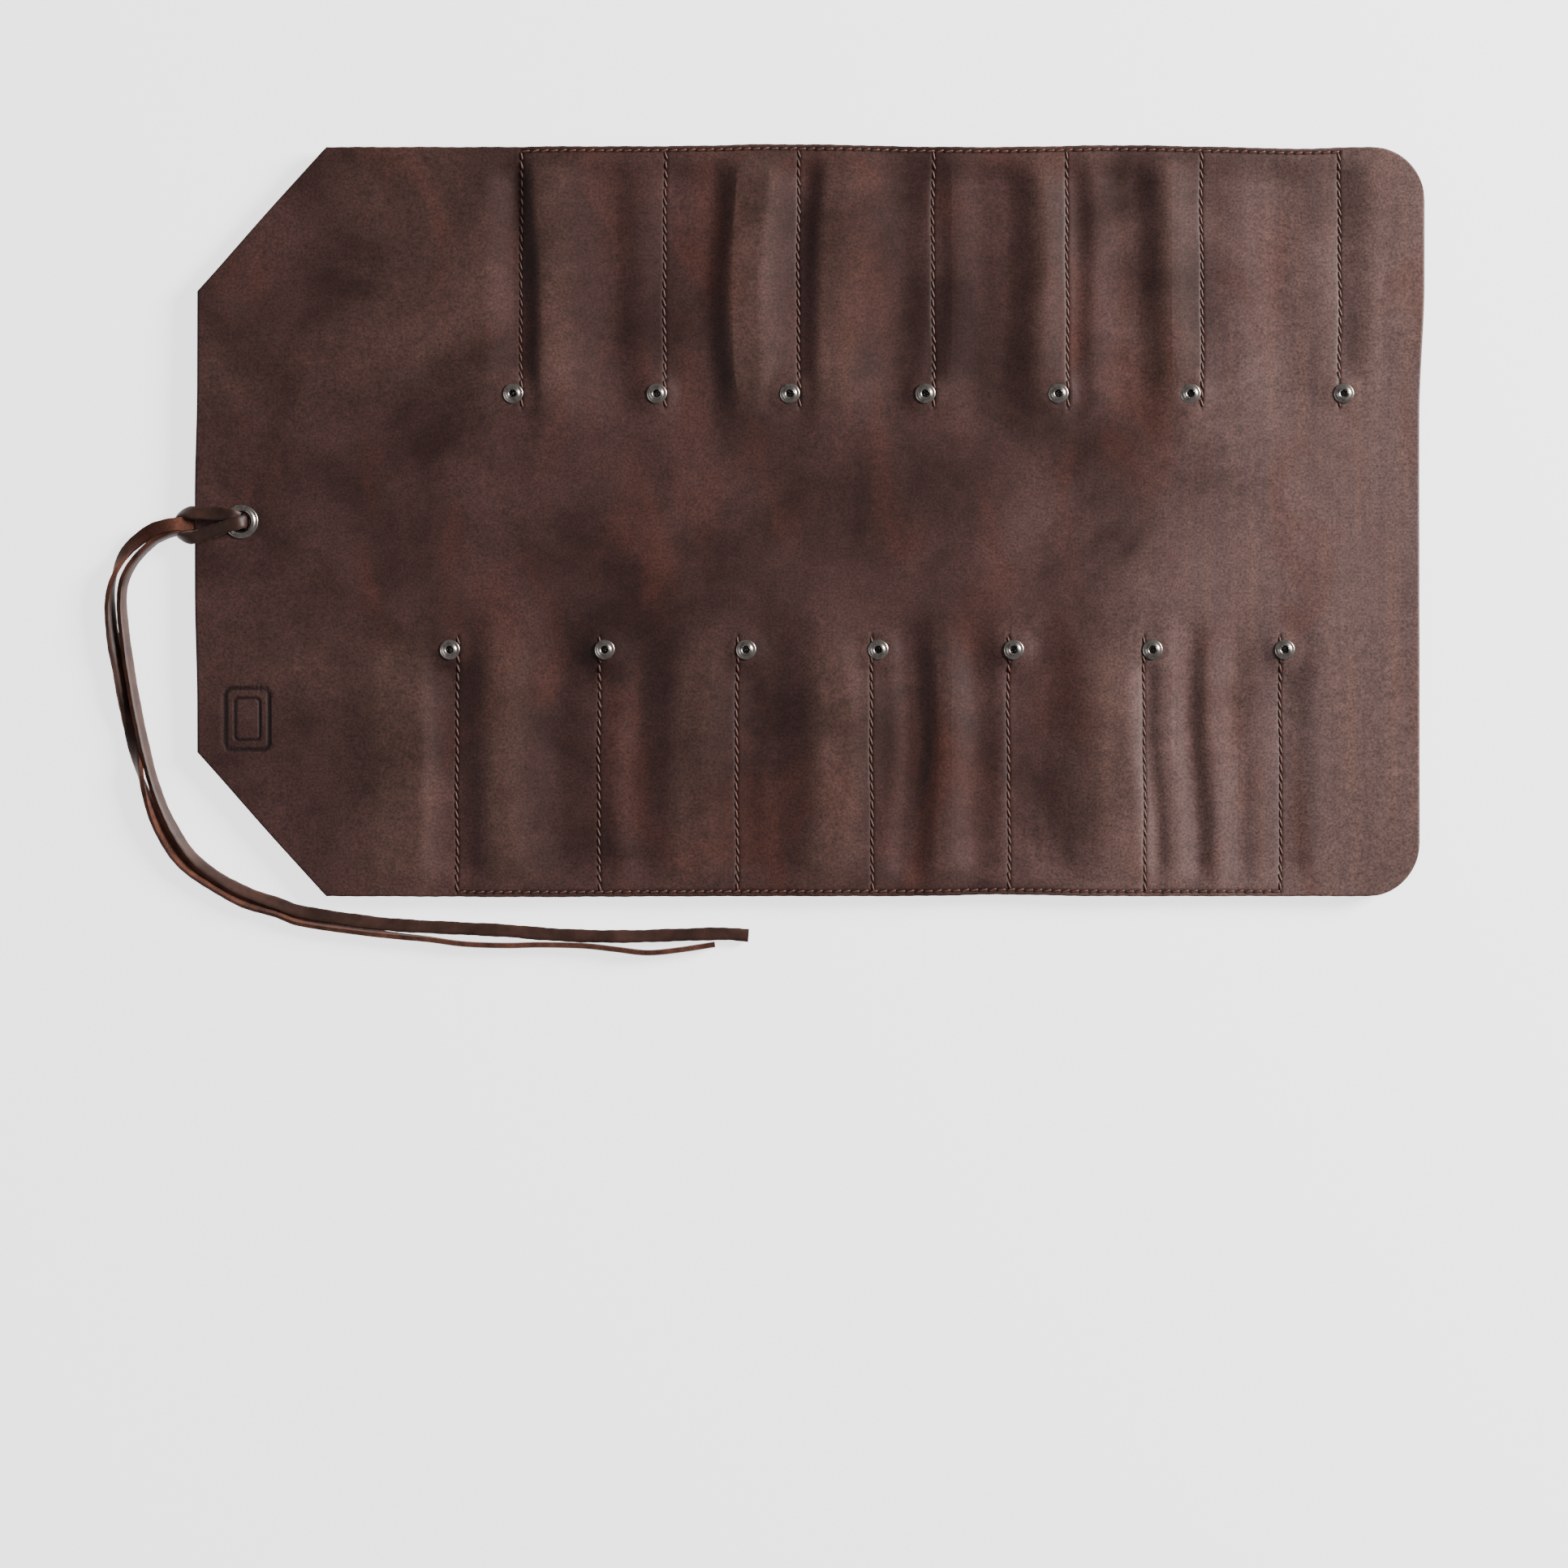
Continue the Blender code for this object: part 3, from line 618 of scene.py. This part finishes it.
def outer_relief(x, y):
    """How far the outer leather's face lies above OUTER_TOP."""
    height = slack(x, y)
    flap = 1 - ramp(x, LEFT + 35 * MM, LEFT + 110 * MM)
    corner_droop = flap * ramp(np.abs(y), 55 * MM, 130 * MM)
    height = height * (1 - 0.5 * flap) - 0.9 * MM * corner_droop
    rivet = near_rivet(x, y)
    held = bell(rivet, 8.5 * MM)
    height = height * (1 - held) - 0.12 * MM * bell(rivet, 5.2 * MM) ** 2
    height = height + 0.22 * MM * bell(rivet - 7.2 * MM, 1.8 * MM)
    eyelet = np.hypot(x - EYELET.x, y - EYELET.y)
    height = height * (1 - bell(eyelet, 13 * MM)) - 0.10 * MM * (1 - ramp(eyelet, 8.2 * MM, 10 * MM))
    height = height - 0.42 * MM * near_seam(x, y)
    return height - 0.36 * MM * pressed_mark(x, y)


def pocket_raise(x, y, row):
    """1 where the pocket leather is sewn up against the outer leather, and 0 on its belly."""
    side = SIDE[row]
    raised = ramp(side * y, HALF_WIDTH - 13 * MM, HALF_WIDTH - 4 * MM)
    for seam in SEAMS[row]:
        raised = np.maximum(raised, 1 - ramp(np.abs(x - seam), 3 * MM, 15.5 * MM))
    for rivet in RIVETS[row]:
        raised = np.maximum(raised, 1 - ramp(np.hypot(x - rivet.x, y - rivet.y), 6 * MM, 15 * MM))
    beyond = np.maximum(ramp(-x, -SEAMS[row][0] - 3 * MM, -SEAMS[row][0]),
                        ramp(x, SEAMS[row][-1], SEAMS[row][-1] + 3 * MM))
    return np.maximum(raised, beyond)


def spaced(low, high, step):
    """Even places from low to high, about step apart."""
    return list(np.linspace(low, high, max(2, round((high - low) / step) + 1)))


def thinned(values, low, high, least):
    """Sorted places between low and high, both kept, with none closer than least."""
    kept = [low]
    for value in sorted(values):
        if value - kept[-1] >= least and high - value >= least:
            kept.append(value)
    return np.array([*kept, high])


SEAM_STEPS = [x * MM for x in (-2.6, -1.7, -1.1, -0.7, -0.35, 0, 0.35, 0.7, 1.1, 1.7, 2.6)]
EDGE_STEPS = [x * MM for x in (0, 0.25, 0.7, 1.2, 1.6, 1.9, 2.2, 2.5, 2.8, 3.2, 4.0, 5.2, 7.0)]


def seam_columns(low, high, rows):
    """Columns between low and high: close together at the seams of the given rows."""
    fine = [seam + step for row in rows for seam in SEAMS[row] for step in SEAM_STEPS]
    fine = [x for x in fine if low < x < high]
    coarse = [x for x in spaced(low, high, 1.7 * MM) if all(abs(x - f) > 0.8 * MM for f in fine)]
    return fine + coarse


def material_by_height(piece, layer):
    """Gives the faces of a slab's lower layer the second material, and its edges the third."""
    flat = np.zeros(len(piece.data.polygons), int)
    for polygon in piece.data.polygons:
        layers = {layer[v] for v in polygon.vertices}
        flat[polygon.index] = 2 if len(layers) == 2 else (0 if layers == {1} else 1)
    piece.data.polygons.foreach_set("material_index", flat)


def leather_slab(name, columns, rows_at, top_at, bottom_at, materials):
    """A closed slab of leather: columns of x, rows_at(x) for the y of each row, and the heights
    of both faces as functions of x and y."""
    ys = np.array([rows_at(x) for x in columns])
    xs = np.repeat(columns[:, None], ys.shape[1], axis=1)
    heights = np.array([bottom_at(xs, ys), top_at(xs, ys)])
    piece, column, row, layer = grid(name, len(columns), ys.shape[1], layers=2)
    move_x, move_y = drawn_in(xs, ys)
    set_places(piece, np.column_stack([
        (xs + move_x)[column, row], (ys + move_y)[column, row], heights[layer, column, row]
    ]))
    material_by_height(piece, layer)
    for material in materials:
        piece.data.materials.append(material)
    return piece, xs[column, row], ys[column, row]


def outer_top(x, y):
    """The outer face's height, with its cut edges rounded over."""
    from_edge = np.minimum(half_width(x) - np.abs(y), np.minimum(x - LEFT, RIGHT - x))
    return OUTER_TOP + outer_relief(x, y) - 0.35 * MM * (1 - ramp(from_edge, -0.1 * MM, 0.8 * MM))


def outer_bottom(x, y):
    """The height of the outer leather's flesh side."""
    grooves = 0.42 * MM * near_seam(x, y) + 0.36 * MM * pressed_mark(x, y)
    return OUTER_TOP + outer_relief(x, y) + 0.8 * grooves - OUTER_THICKNESS


def pocket_rise(x, y, row):
    """How high the pocket leather's lower side lies, before the seams press into it."""
    lift = outer_bottom(x, y) - LEATHER_GAP - POCKET_THICKNESS - 0.1 * MM
    return 0.1 * MM + lift * pocket_raise(x, y, row)


def pocket_bottom(row):
    """The height of a row's pocket leather on the side that lies on the table."""
    return lambda x, y: pocket_rise(x, y, row) + 0.25 * MM * near_seam(x, y)


def pocket_top(row):
    """The height of the inner side of a row's pocket leather."""
    return lambda x, y: pocket_rise(x, y, row) + POCKET_THICKNESS


def outer_rows(extra=()):
    """The y of each row of the outer leather's grid at one x."""
    reach = HALF_WIDTH - EDGE_STEPS[-1]
    inner = thinned([*spaced(0, reach, 1.8 * MM), *extra], 0, reach, 0.3 * MM)

    def at(x):
        width = float(half_width(x))
        half = [y * (width - EDGE_STEPS[-1]) / reach for y in inner]
        half += [width - step for step in reversed(EDGE_STEPS[:-1])]
        return [-y for y in reversed(half[1:])] + half
    return at


# ---------------------------------------------------------------- the pieces
def bend_zone(number):
    """The stretch along X that bends round crease number, and the bodies on its two sides."""
    crease = CREASES[number - 1]
    half = 0.49 * min(crease - EDGES[number - 1], EDGES[number + 1] - crease)
    return crease - half, crease + half, f"fold_{number:02d}", f"fold_{number + 1:02d}"


def bend(piece):
    """Bakes a piece's placement into its points."""
    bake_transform(piece)


def crease_at(x):
    """The number of the crease whose piece of leather holds x."""
    return next(n for n in range(1, len(CREASES) + 1) if x < CUTS[n] or n == len(CREASES))


def carry(piece, x):
    """Attaches a stiff piece at x to a fold body, or bakes its placement if x is in a bend zone."""
    number = crease_at(x)
    low, high, before, after = bend_zone(number)
    share = (x - low) / (high - low)
    if share <= 0 or share >= 1:
        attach(piece, before if share <= 0 else after)
        return
    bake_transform(piece)


def outer_leather(materials):
    """The outer leather in fourteen pieces, one round each crease."""
    mark_rows = spaced(76 * MM, 109 * MM, 0.7 * MM)
    # the flap is narrower than the sheet, so the rows over the mark lie further out there
    widening = (HALF_WIDTH - EDGE_STEPS[-1]) / (float(half_width(MARK_CENTRE[0])) - EDGE_STEPS[-1])
    for number in range(1, len(CUTS)):
        low, high = CUTS[number - 1], CUTS[number]
        lines = seam_columns(low, high, ("upper", "lower"))
        if number == 1:
            lines += [LEFT + step for step in EDGE_STEPS[1:4]]
            lines += spaced(MARK_CENTRE[0] - 11.4 * MM, MARK_CENTRE[0] + 11.4 * MM, 0.55 * MM)
        if number == len(CUTS) - 1:
            lines += [RIGHT - step for step in EDGE_STEPS[1:4]]
            arc = [CORNER_RADIUS * math.sin(math.radians(a)) for a in range(40, 90, 4)]
            lines += [RIGHT - CORNER_RADIUS + step for step in arc]
        columns = thinned(lines, low, high, 0.2 * MM)
        rows = outer_rows([y * widening for y in mark_rows] if number == 1 else ())
        piece, x, y = leather_slab(f"outer_hide_{number:02d}", columns, rows, outer_top,
                                   outer_bottom, materials)
        relief = outer_relief(x, y)
        on_pockets = ramp(np.abs(y), 40 * MM, 70 * MM)
        set_attribute(piece, "puff", 0.55 * ramp(relief, -1.0 * MM, 1.0 * MM) * on_pockets)
        # the seams and the pressed mark are darkened here, partly as pressed leather and partly as
        # painted shade
        set_attribute(piece, "groove", np.maximum(0.75 * near_seam(x, y), 0.8 * pressed_mark(x, y)))
        for rivet in (*RIVETS["upper"], *RIVETS["lower"]):
            if low < rivet.x < high:
                cut_hole(piece, rivet, 1.9 * MM)
        if number == 1:
            cut_hole(piece, EYELET, 5.1 * MM)
        finish_mesh(piece, 40, merge=False)
        nodes = [f"outer_leather_{number + 1:02d}"] + ["outer_leather_01"] * (number == 1)
        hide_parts(*nodes)
        bend(piece)


def pocket_leather(row, materials):
    """One row's pocket leather, cut at the same places as the outer leather."""
    start, end = POCKET_ENDS[row]
    first, last = crease_at(start), crease_at(end - 2 * MM)
    side = SIDE[row]
    inner = [*spaced(POCKET_MOUTH, HALF_WIDTH - 7 * MM, 2.2 * MM)]
    outer = [HALF_WIDTH - 0.2 * MM - step for step in reversed(EDGE_STEPS)]
    rows = thinned(inner + outer, POCKET_MOUTH, HALF_WIDTH - 0.2 * MM, 0.3 * MM)
    places = sorted(side * y for y in rows)
    for number in range(first, last + 1):
        low = start if number == first else CUTS[number - 1]
        high = end if number == last else CUTS[number]
        columns = thinned(seam_columns(low, high, (row,)), low, high, 0.2 * MM)
        piece, x, y = leather_slab(f"{row}_pocket_hide_{number:02d}", columns,
                                   lambda x: places, pocket_top(row), pocket_bottom(row), materials)
        set_attribute(piece, "puff", 0.4 * (1 - pocket_raise(x, y, row)))
        # the seams are darkened here, partly as pressed leather and partly as painted shade
        set_attribute(piece, "groove", 0.6 * near_seam(x, y))
        for rivet in RIVETS[row]:
            if low < rivet.x < high:
                cut_hole(piece, rivet, 1.9 * MM)
        finish_mesh(piece, 40, merge=False)
        nodes = [f"{row}_pockets_{strip:02d}" for strip in (number, number + 1)
                 if f"{row}_pockets_{strip:02d}" in frame["nodes"]]
        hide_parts(*nodes)
        bend(piece)


def one_stitch(material):
    """One stitch, modelled once and then copied: a short length of thread that dips at both
    ends. Returns it with the places of its points."""
    bpy.ops.object.select_all(action="DESELECT")
    bpy.ops.mesh.primitive_uv_sphere_add(segments=8, ring_count=7, radius=1)
    stitch = bpy.context.object
    stitch.data.materials.append(material)
    points = np.array([v.co for v in stitch.data.vertices])
    along = points[:, 2]
    from_axis = np.maximum(np.hypot(points[:, 0], points[:, 1]), 1e-9)
    thick = np.sqrt(np.clip(1 - along**6, 0, 1)) / from_axis
    shaped = np.column_stack([
        points[:, 0] * thick * 0.47 * MM,
        along * 0.50 * STITCH_PITCH,
        points[:, 1] * thick * 0.42 * MM - 0.45 * MM * along**4,
    ])
    return stitch, shaped


def stitch_places():
    """The middle, direction and side of every stitch, as (x, y, angle, row)."""
    places = []
    for row, side in SIDE.items():
        edge = HALF_WIDTH - STITCH_INSET
        for seam in SEAMS[row]:
            for y in spaced(SEAM_END + STITCH_PITCH / 2, edge - STITCH_PITCH / 2, STITCH_PITCH):
                shift = float(seam_line(np.array(seam), np.array(side * y)))
                places.append((seam + shift, side * y, 0.0, row))
        first, last = SEAMS[row][0] + STITCH_PITCH / 2, SEAMS[row][-1] - STITCH_PITCH / 2
        for x in spaced(first, last, STITCH_PITCH):
            places.append((x, side * edge, math.pi / 2, row))
    return places


def thread(material):
    """All stitches, on both faces, joined into one piece for each piece of leather."""
    stitch, shape = one_stitch(material)
    slant = math.radians(15)
    by_crease = {}
    for count, (x, y, angle, row) in enumerate(stitch_places()):
        turn = angle + slant + 0.10 * math.sin(count * 2.3)
        spin = np.array([[math.cos(turn), -math.sin(turn)], [math.sin(turn), math.cos(turn)]])
        here = np.array([[x]]), np.array([[y]])
        if min(math.hypot(x - r.x, y - r.y) for r in RIVETS[row]) < 4.6 * MM:
            continue
        above = float(outer_top(*here)[0, 0]) + 0.28 * MM
        below = float(pocket_bottom(row)(*here)[0, 0]) - 0.12 * MM
        move = drawn_in(*here)
        centre = (x + float(move[0][0, 0]), y + float(move[1][0, 0]))
        for height, flip in ((above, 1), (max(below, 0.45 * MM), -1)):
            points = shape.copy()
            points[:, :2] = points[:, :2] @ spin.T + centre
            points[:, 2] = height + flip * shape[:, 2]
            copy = stitch.copy()
            copy.data = stitch.data.copy()
            bpy.context.scene.collection.objects.link(copy)
            set_places(copy, points)
            by_crease.setdefault(crease_at(x), []).append(copy)
    bpy.data.objects.remove(stitch)
    for number, stitches in by_crease.items():
        bpy.ops.object.select_all(action="DESELECT")
        for copy in stitches:
            copy.select_set(True)
        piece = stitches[0]
        bpy.context.view_layer.objects.active = piece
        bpy.ops.object.join()
        piece.name = piece.data.name = f"stitches_{number:02d}"
        finish_mesh(piece, 60)
        bend(piece)


def rivets(material):
    """Tubular rivets: a domed cap with a rolled rim round its bore, and a set flange inside."""
    seat = OUTER_TOP - 0.14 * MM
    low = 3.95 * MM
    profile = [(radius * MM, height) for radius, height in (
        (1.30, low - 1.0 * MM), (1.9, low - 1.15 * MM), (3.3, low - 0.85 * MM), (4.0, low - 0.35 * MM),
        (4.1, low), (1.65, low), (1.80, seat + 0.05 * MM), (4.55, seat), (4.72, seat + 0.12 * MM),
        (4.66, seat + 0.30 * MM), (4.35, seat + 0.44 * MM), (3.75, seat + 0.52 * MM),
        (3.1, seat + 0.60 * MM), (2.85, seat + 0.86 * MM), (2.60, seat + 1.16 * MM),
        (2.28, seat + 1.26 * MM), (1.95, seat + 1.14 * MM), (1.74, seat + 0.82 * MM),
        (1.60, seat + 0.2 * MM), (1.40, seat - 1.2 * MM),
    )]
    for row, places in RIVETS.items():
        for number, place in enumerate(places, 1):
            piece = revolved(f"{row}_rivet_cap_{number}", profile, place, 40, material)
            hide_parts(f"{row}_rivet_{number}")
            carry(piece, place.x)


def eyelet(material):
    """The eyelet: a stepped flange round a rolled bore, and the washer clinched under it."""
    seat = OUTER_TOP - 0.10 * MM
    profile = [(radius * MM, height) for radius, height in (
        (4.30, 4.1 * MM), (4.75, 3.75 * MM), (5.6, 3.8 * MM), (6.0, 4.2 * MM), (5.9, 4.45 * MM),
        (4.95, 4.6 * MM), (4.85, seat), (7.85, seat), (8.02, seat + 0.15 * MM),
        (7.95, seat + 0.42 * MM), (7.6, seat + 0.62 * MM), (7.2, seat + 0.62 * MM),
        (6.9, seat + 0.5 * MM), (6.65, seat + 0.62 * MM), (6.3, seat + 1.0 * MM),
        (5.8, seat + 1.22 * MM), (5.3, seat + 1.2 * MM), (4.85, seat + 0.95 * MM),
        (4.5, seat + 0.5 * MM), (4.3, seat - 0.1 * MM),
    )]
    piece = revolved("eyelet_ring", profile, EYELET, 64, material)
    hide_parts("eyelet")
    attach(piece, "fold_01")
    low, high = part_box("eyelet_washer")[0].z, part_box("eyelet_washer")[1].z + 0.2 * MM
    rim = [(5.1 * MM, low), (6.4 * MM, low - 0.1 * MM), (7.3 * MM, low), (7.5 * MM, low + 0.2 * MM),
           (7.4 * MM, high), (5.1 * MM, high)]
    washer = revolved("clinched_washer", rim, EYELET, 48, material)
    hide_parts("eyelet_washer")
    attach(washer, "fold_01")


def smooth_route(points, step):
    """Evenly spaced points on a smooth curve through the given ones (Catmull-Rom)."""
    route = np.array(points)
    padded = np.vstack([2 * route[0] - route[1], route, 2 * route[-1] - route[-2]])
    fine = []
    for a, b, c, d in zip(padded, padded[1:], padded[2:], padded[3:]):
        for t in np.linspace(0.0, 1.0, 16, endpoint=False):
            fine.append(0.5 * (2 * b + (c - a) * t + (2 * a - 5 * b + 4 * c - d) * t**2
                               + (3 * b - a - 3 * c + d) * t**3))
    fine = np.array([*fine, route[-1]])
    along = np.concatenate([[0.0], np.cumsum(np.linalg.norm(np.diff(fine, axis=0), axis=1))])
    places = np.linspace(0.0, along[-1], round(along[-1] / step) + 1)
    return np.column_stack([np.interp(places, along, fine[:, axis]) for axis in range(3)])


def lace_section():
    """The lace's outline across its length: rounded at the smooth face, square at the suede
    face. Each point has its side-to-side and its up-and-down place and its face's material."""
    half, thick = LACE_WIDTH / 2, LACE_THICKNESS / 2
    points, kinds = [], []
    for share in np.linspace(-1, 1, 9):
        crown = 0.12 * MM * (1 - share**2)
        rounding = 0.35 * MM * abs(share) ** 8
        points.append((share * (half - 0.05 * MM), thick + crown - rounding))
        kinds.append(0)
    for share in (0.25, -0.35):
        points.append((half, share * thick))
        kinds.append(1)
    for share in np.linspace(1, -1, 7):
        points.append((share * half, -thick))
        kinds.append(1)
    for share in (-0.35, 0.25):
        points.append((-half, share * thick))
        kinds.append(1)
    return np.array(points), kinds


def strap(name, route, across, materials):
    """A flat lace along a route; across is the direction of its width at each point."""
    tangent = np.gradient(route, axis=0)
    tangent /= np.linalg.norm(tangent, axis=1)[:, None]
    across = across - tangent * (across * tangent).sum(1)[:, None]
    across /= np.linalg.norm(across, axis=1)[:, None]
    up = np.cross(tangent, across)
    section, kinds = lace_section()
    count = len(section)
    piece, column, row, _ = grid(name, len(route) + 2, count + 1)
    at = np.clip(column - 1, 0, len(route) - 1)
    side, rise = section[row % count, 0], section[row % count, 1]
    capped = (column == 0) | (column == len(route) + 1)
    side, rise = np.where(capped, 0, side), np.where(capped, 0, rise)
    uneven = 1 + 0.03 * np.sin(at * 0.37) + 0.02 * np.sin(at * 1.13 + 1)
    places = route[at] + across[at] * (side * uneven)[:, None] + up[at] * rise[:, None]
    places[:, 2] = np.maximum(places[:, 2], 0.05 * MM)
    set_places(piece, places)
    faces = np.zeros(len(piece.data.polygons), int)
    for polygon in piece.data.polygons:
        rows = sorted({row[v] for v in polygon.vertices})
        columns = {column[v] for v in polygon.vertices}
        ends = bool(columns & {0, len(route) + 1})
        faces[polygon.index] = 1 if ends or rows[0] >= 8 or kinds[rows[0]] == 1 else 0
    piece.data.polygons.foreach_set("material_index", faces)
    for material in materials:
        piece.data.materials.append(material)
    finish_mesh(piece, 45)
    return piece


def tail(name, points, turns, node, materials):
    """One free end of the lace, lying on the table and turning about its own length."""
    route = smooth_route(points, 1.2 * MM)
    along = np.linspace(0, 1, len(route))
    shares, degrees = zip(*turns)
    angle = np.interp(along, shares, degrees)
    window = np.hanning(25) / np.hanning(25).sum()
    angle = np.radians(np.convolve(np.pad(angle, 12, mode="edge"), window, mode="valid"))
    tangent = np.gradient(route, axis=0)
    side = np.column_stack([-tangent[:, 1], tangent[:, 0], np.zeros(len(route))])
    side /= np.linalg.norm(side, axis=1)[:, None]
    across = side * np.cos(angle)[:, None] + np.array([0, 0, 1.0]) * np.sin(angle)[:, None]
    half_height = np.abs(np.cos(angle)) * LACE_THICKNESS / 2 + np.abs(np.sin(angle)) * LACE_WIDTH / 2
    lying = half_height * 1.02 + 0.15 * MM + route[:, 2] - LAID
    free = ramp(LEFT - route[:, 0], 8 * MM, 26 * MM)
    route[:, 2] = route[:, 2] * (1 - free) + lying * free
    piece = strap(name, route, across, materials)
    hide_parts(node)
    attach(piece, "fold_01")
    length = float(np.linalg.norm(np.diff(route, axis=0), axis=1).sum())
    return piece, route, length


def hitch(materials):
    """The doubled part of the lace that holds the two tails to the flap."""
    points = np.array(HITCH)
    route = smooth_route([tuple(point[:3] * MM) for point in points], 0.7 * MM)
    lean = np.radians(lean_along(route, points))
    tangent = np.gradient(route, axis=0)
    flat = np.column_stack([-tangent[:, 1], tangent[:, 0], np.zeros(len(route))])
    steep = np.hypot(tangent[:, 0], tangent[:, 1]) < 0.5 * np.linalg.norm(tangent, axis=1)
    halfway = len(route) // 2
    level = np.where(np.arange(len(route)) < halfway, -1.0, 1.0)
    flat[steep] = np.column_stack([0 * level, level, 0 * level])[steep]
    flat /= np.linalg.norm(flat, axis=1)[:, None]
    across = flat * np.cos(lean)[:, None] + np.array([0, 0, 1.0]) * np.sin(lean)[:, None]
    piece = strap("hitch_loop", route, across, materials)
    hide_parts("lace_hitch")
    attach(piece, "fold_01")
    return piece


def lean_along(route, points):
    """The lean of the hitch's band at each point of its route, from the nearest given points."""
    places = [int(np.argmin(np.linalg.norm(route - point[:3] * MM, axis=1))) for point in points]
    return np.interp(np.arange(len(route)), places, points[:, 3])


def table():
    """The table the case lies on. It is open under the case, so that the case can be seen when
    it is rolled up below its flap, and a second board closes the opening further down. A plain
    board just under the table keeps its glow from the opening."""
    inset, far = OPENING_INSET, 4.0
    long, wide, narrow = RIGHT - inset, HALF_WIDTH - inset, FLAP_HALF - inset
    opening = [(long, wide), (LEFT + CHAMFER, wide), (LEFT + inset, narrow)]
    corners = [(far, far), (-1.0, far), (-far, far)]
    opening += [(x, -y) for x, y in reversed(opening)]
    corners += [(x, -y) for x, y in reversed(corners)]
    rims = np.array([opening + opening[:1], corners + corners[:1]])
    glowing = painted_board("glowing white painted board", TABLE_GLOW)
    boards = (("table", 0.0, glowing), ("board_under_table", -1 * MM, painted_board(PLAIN_PAINT)))
    for name, height, material in boards:
        board, column, row, _ = grid(name, 2, len(opening) + 1)
        set_places(board, np.column_stack([rims[column, row], np.full(len(row), height)]))
        finish_mesh(board, 30)
        board.data.materials.append(material)
    bpy.ops.object.select_all(action="DESELECT")
    bpy.ops.mesh.primitive_plane_add(size=2.4, location=(0, 0, -LOWER_BOARD_DEPTH))
    lower = bpy.context.object
    lower.name = "lower_board"
    lower.data.materials.append(painted_board(PLAIN_PAINT))


def build():
    """Makes everything: the camera and the lace first, then the case."""
    add_camera()
    add_lights()
    table()
    grain = oiled_leather()
    flesh = suede("brushed flesh side", "33201a", "5a3a2e", 0.9 * MM)
    raw_edge = suede("raw cut edge", "2c1813", "5a382d", 0.7 * MM)
    lace_faces = (smooth_lace(), suede("lace suede side", "351c15", "653c2d", 0.8 * MM))
    nickel = antique_nickel()

    loop = hitch(lace_faces)
    short, route, length = tail("short_lace", SHORT_TAIL, SHORT_TURN, "lace_short_tail", lace_faces)
    long, route, length = tail("long_lace", LONG_TAIL, LONG_TURN, "lace_long_tail", lace_faces)

    outer_leather((grain, flesh, raw_edge))
    for row in SIDE:
        pocket_leather(row, (flesh, grain, raw_edge))
    thread(waxed_thread())
    rivets(nickel)
    eyelet(nickel)


build()
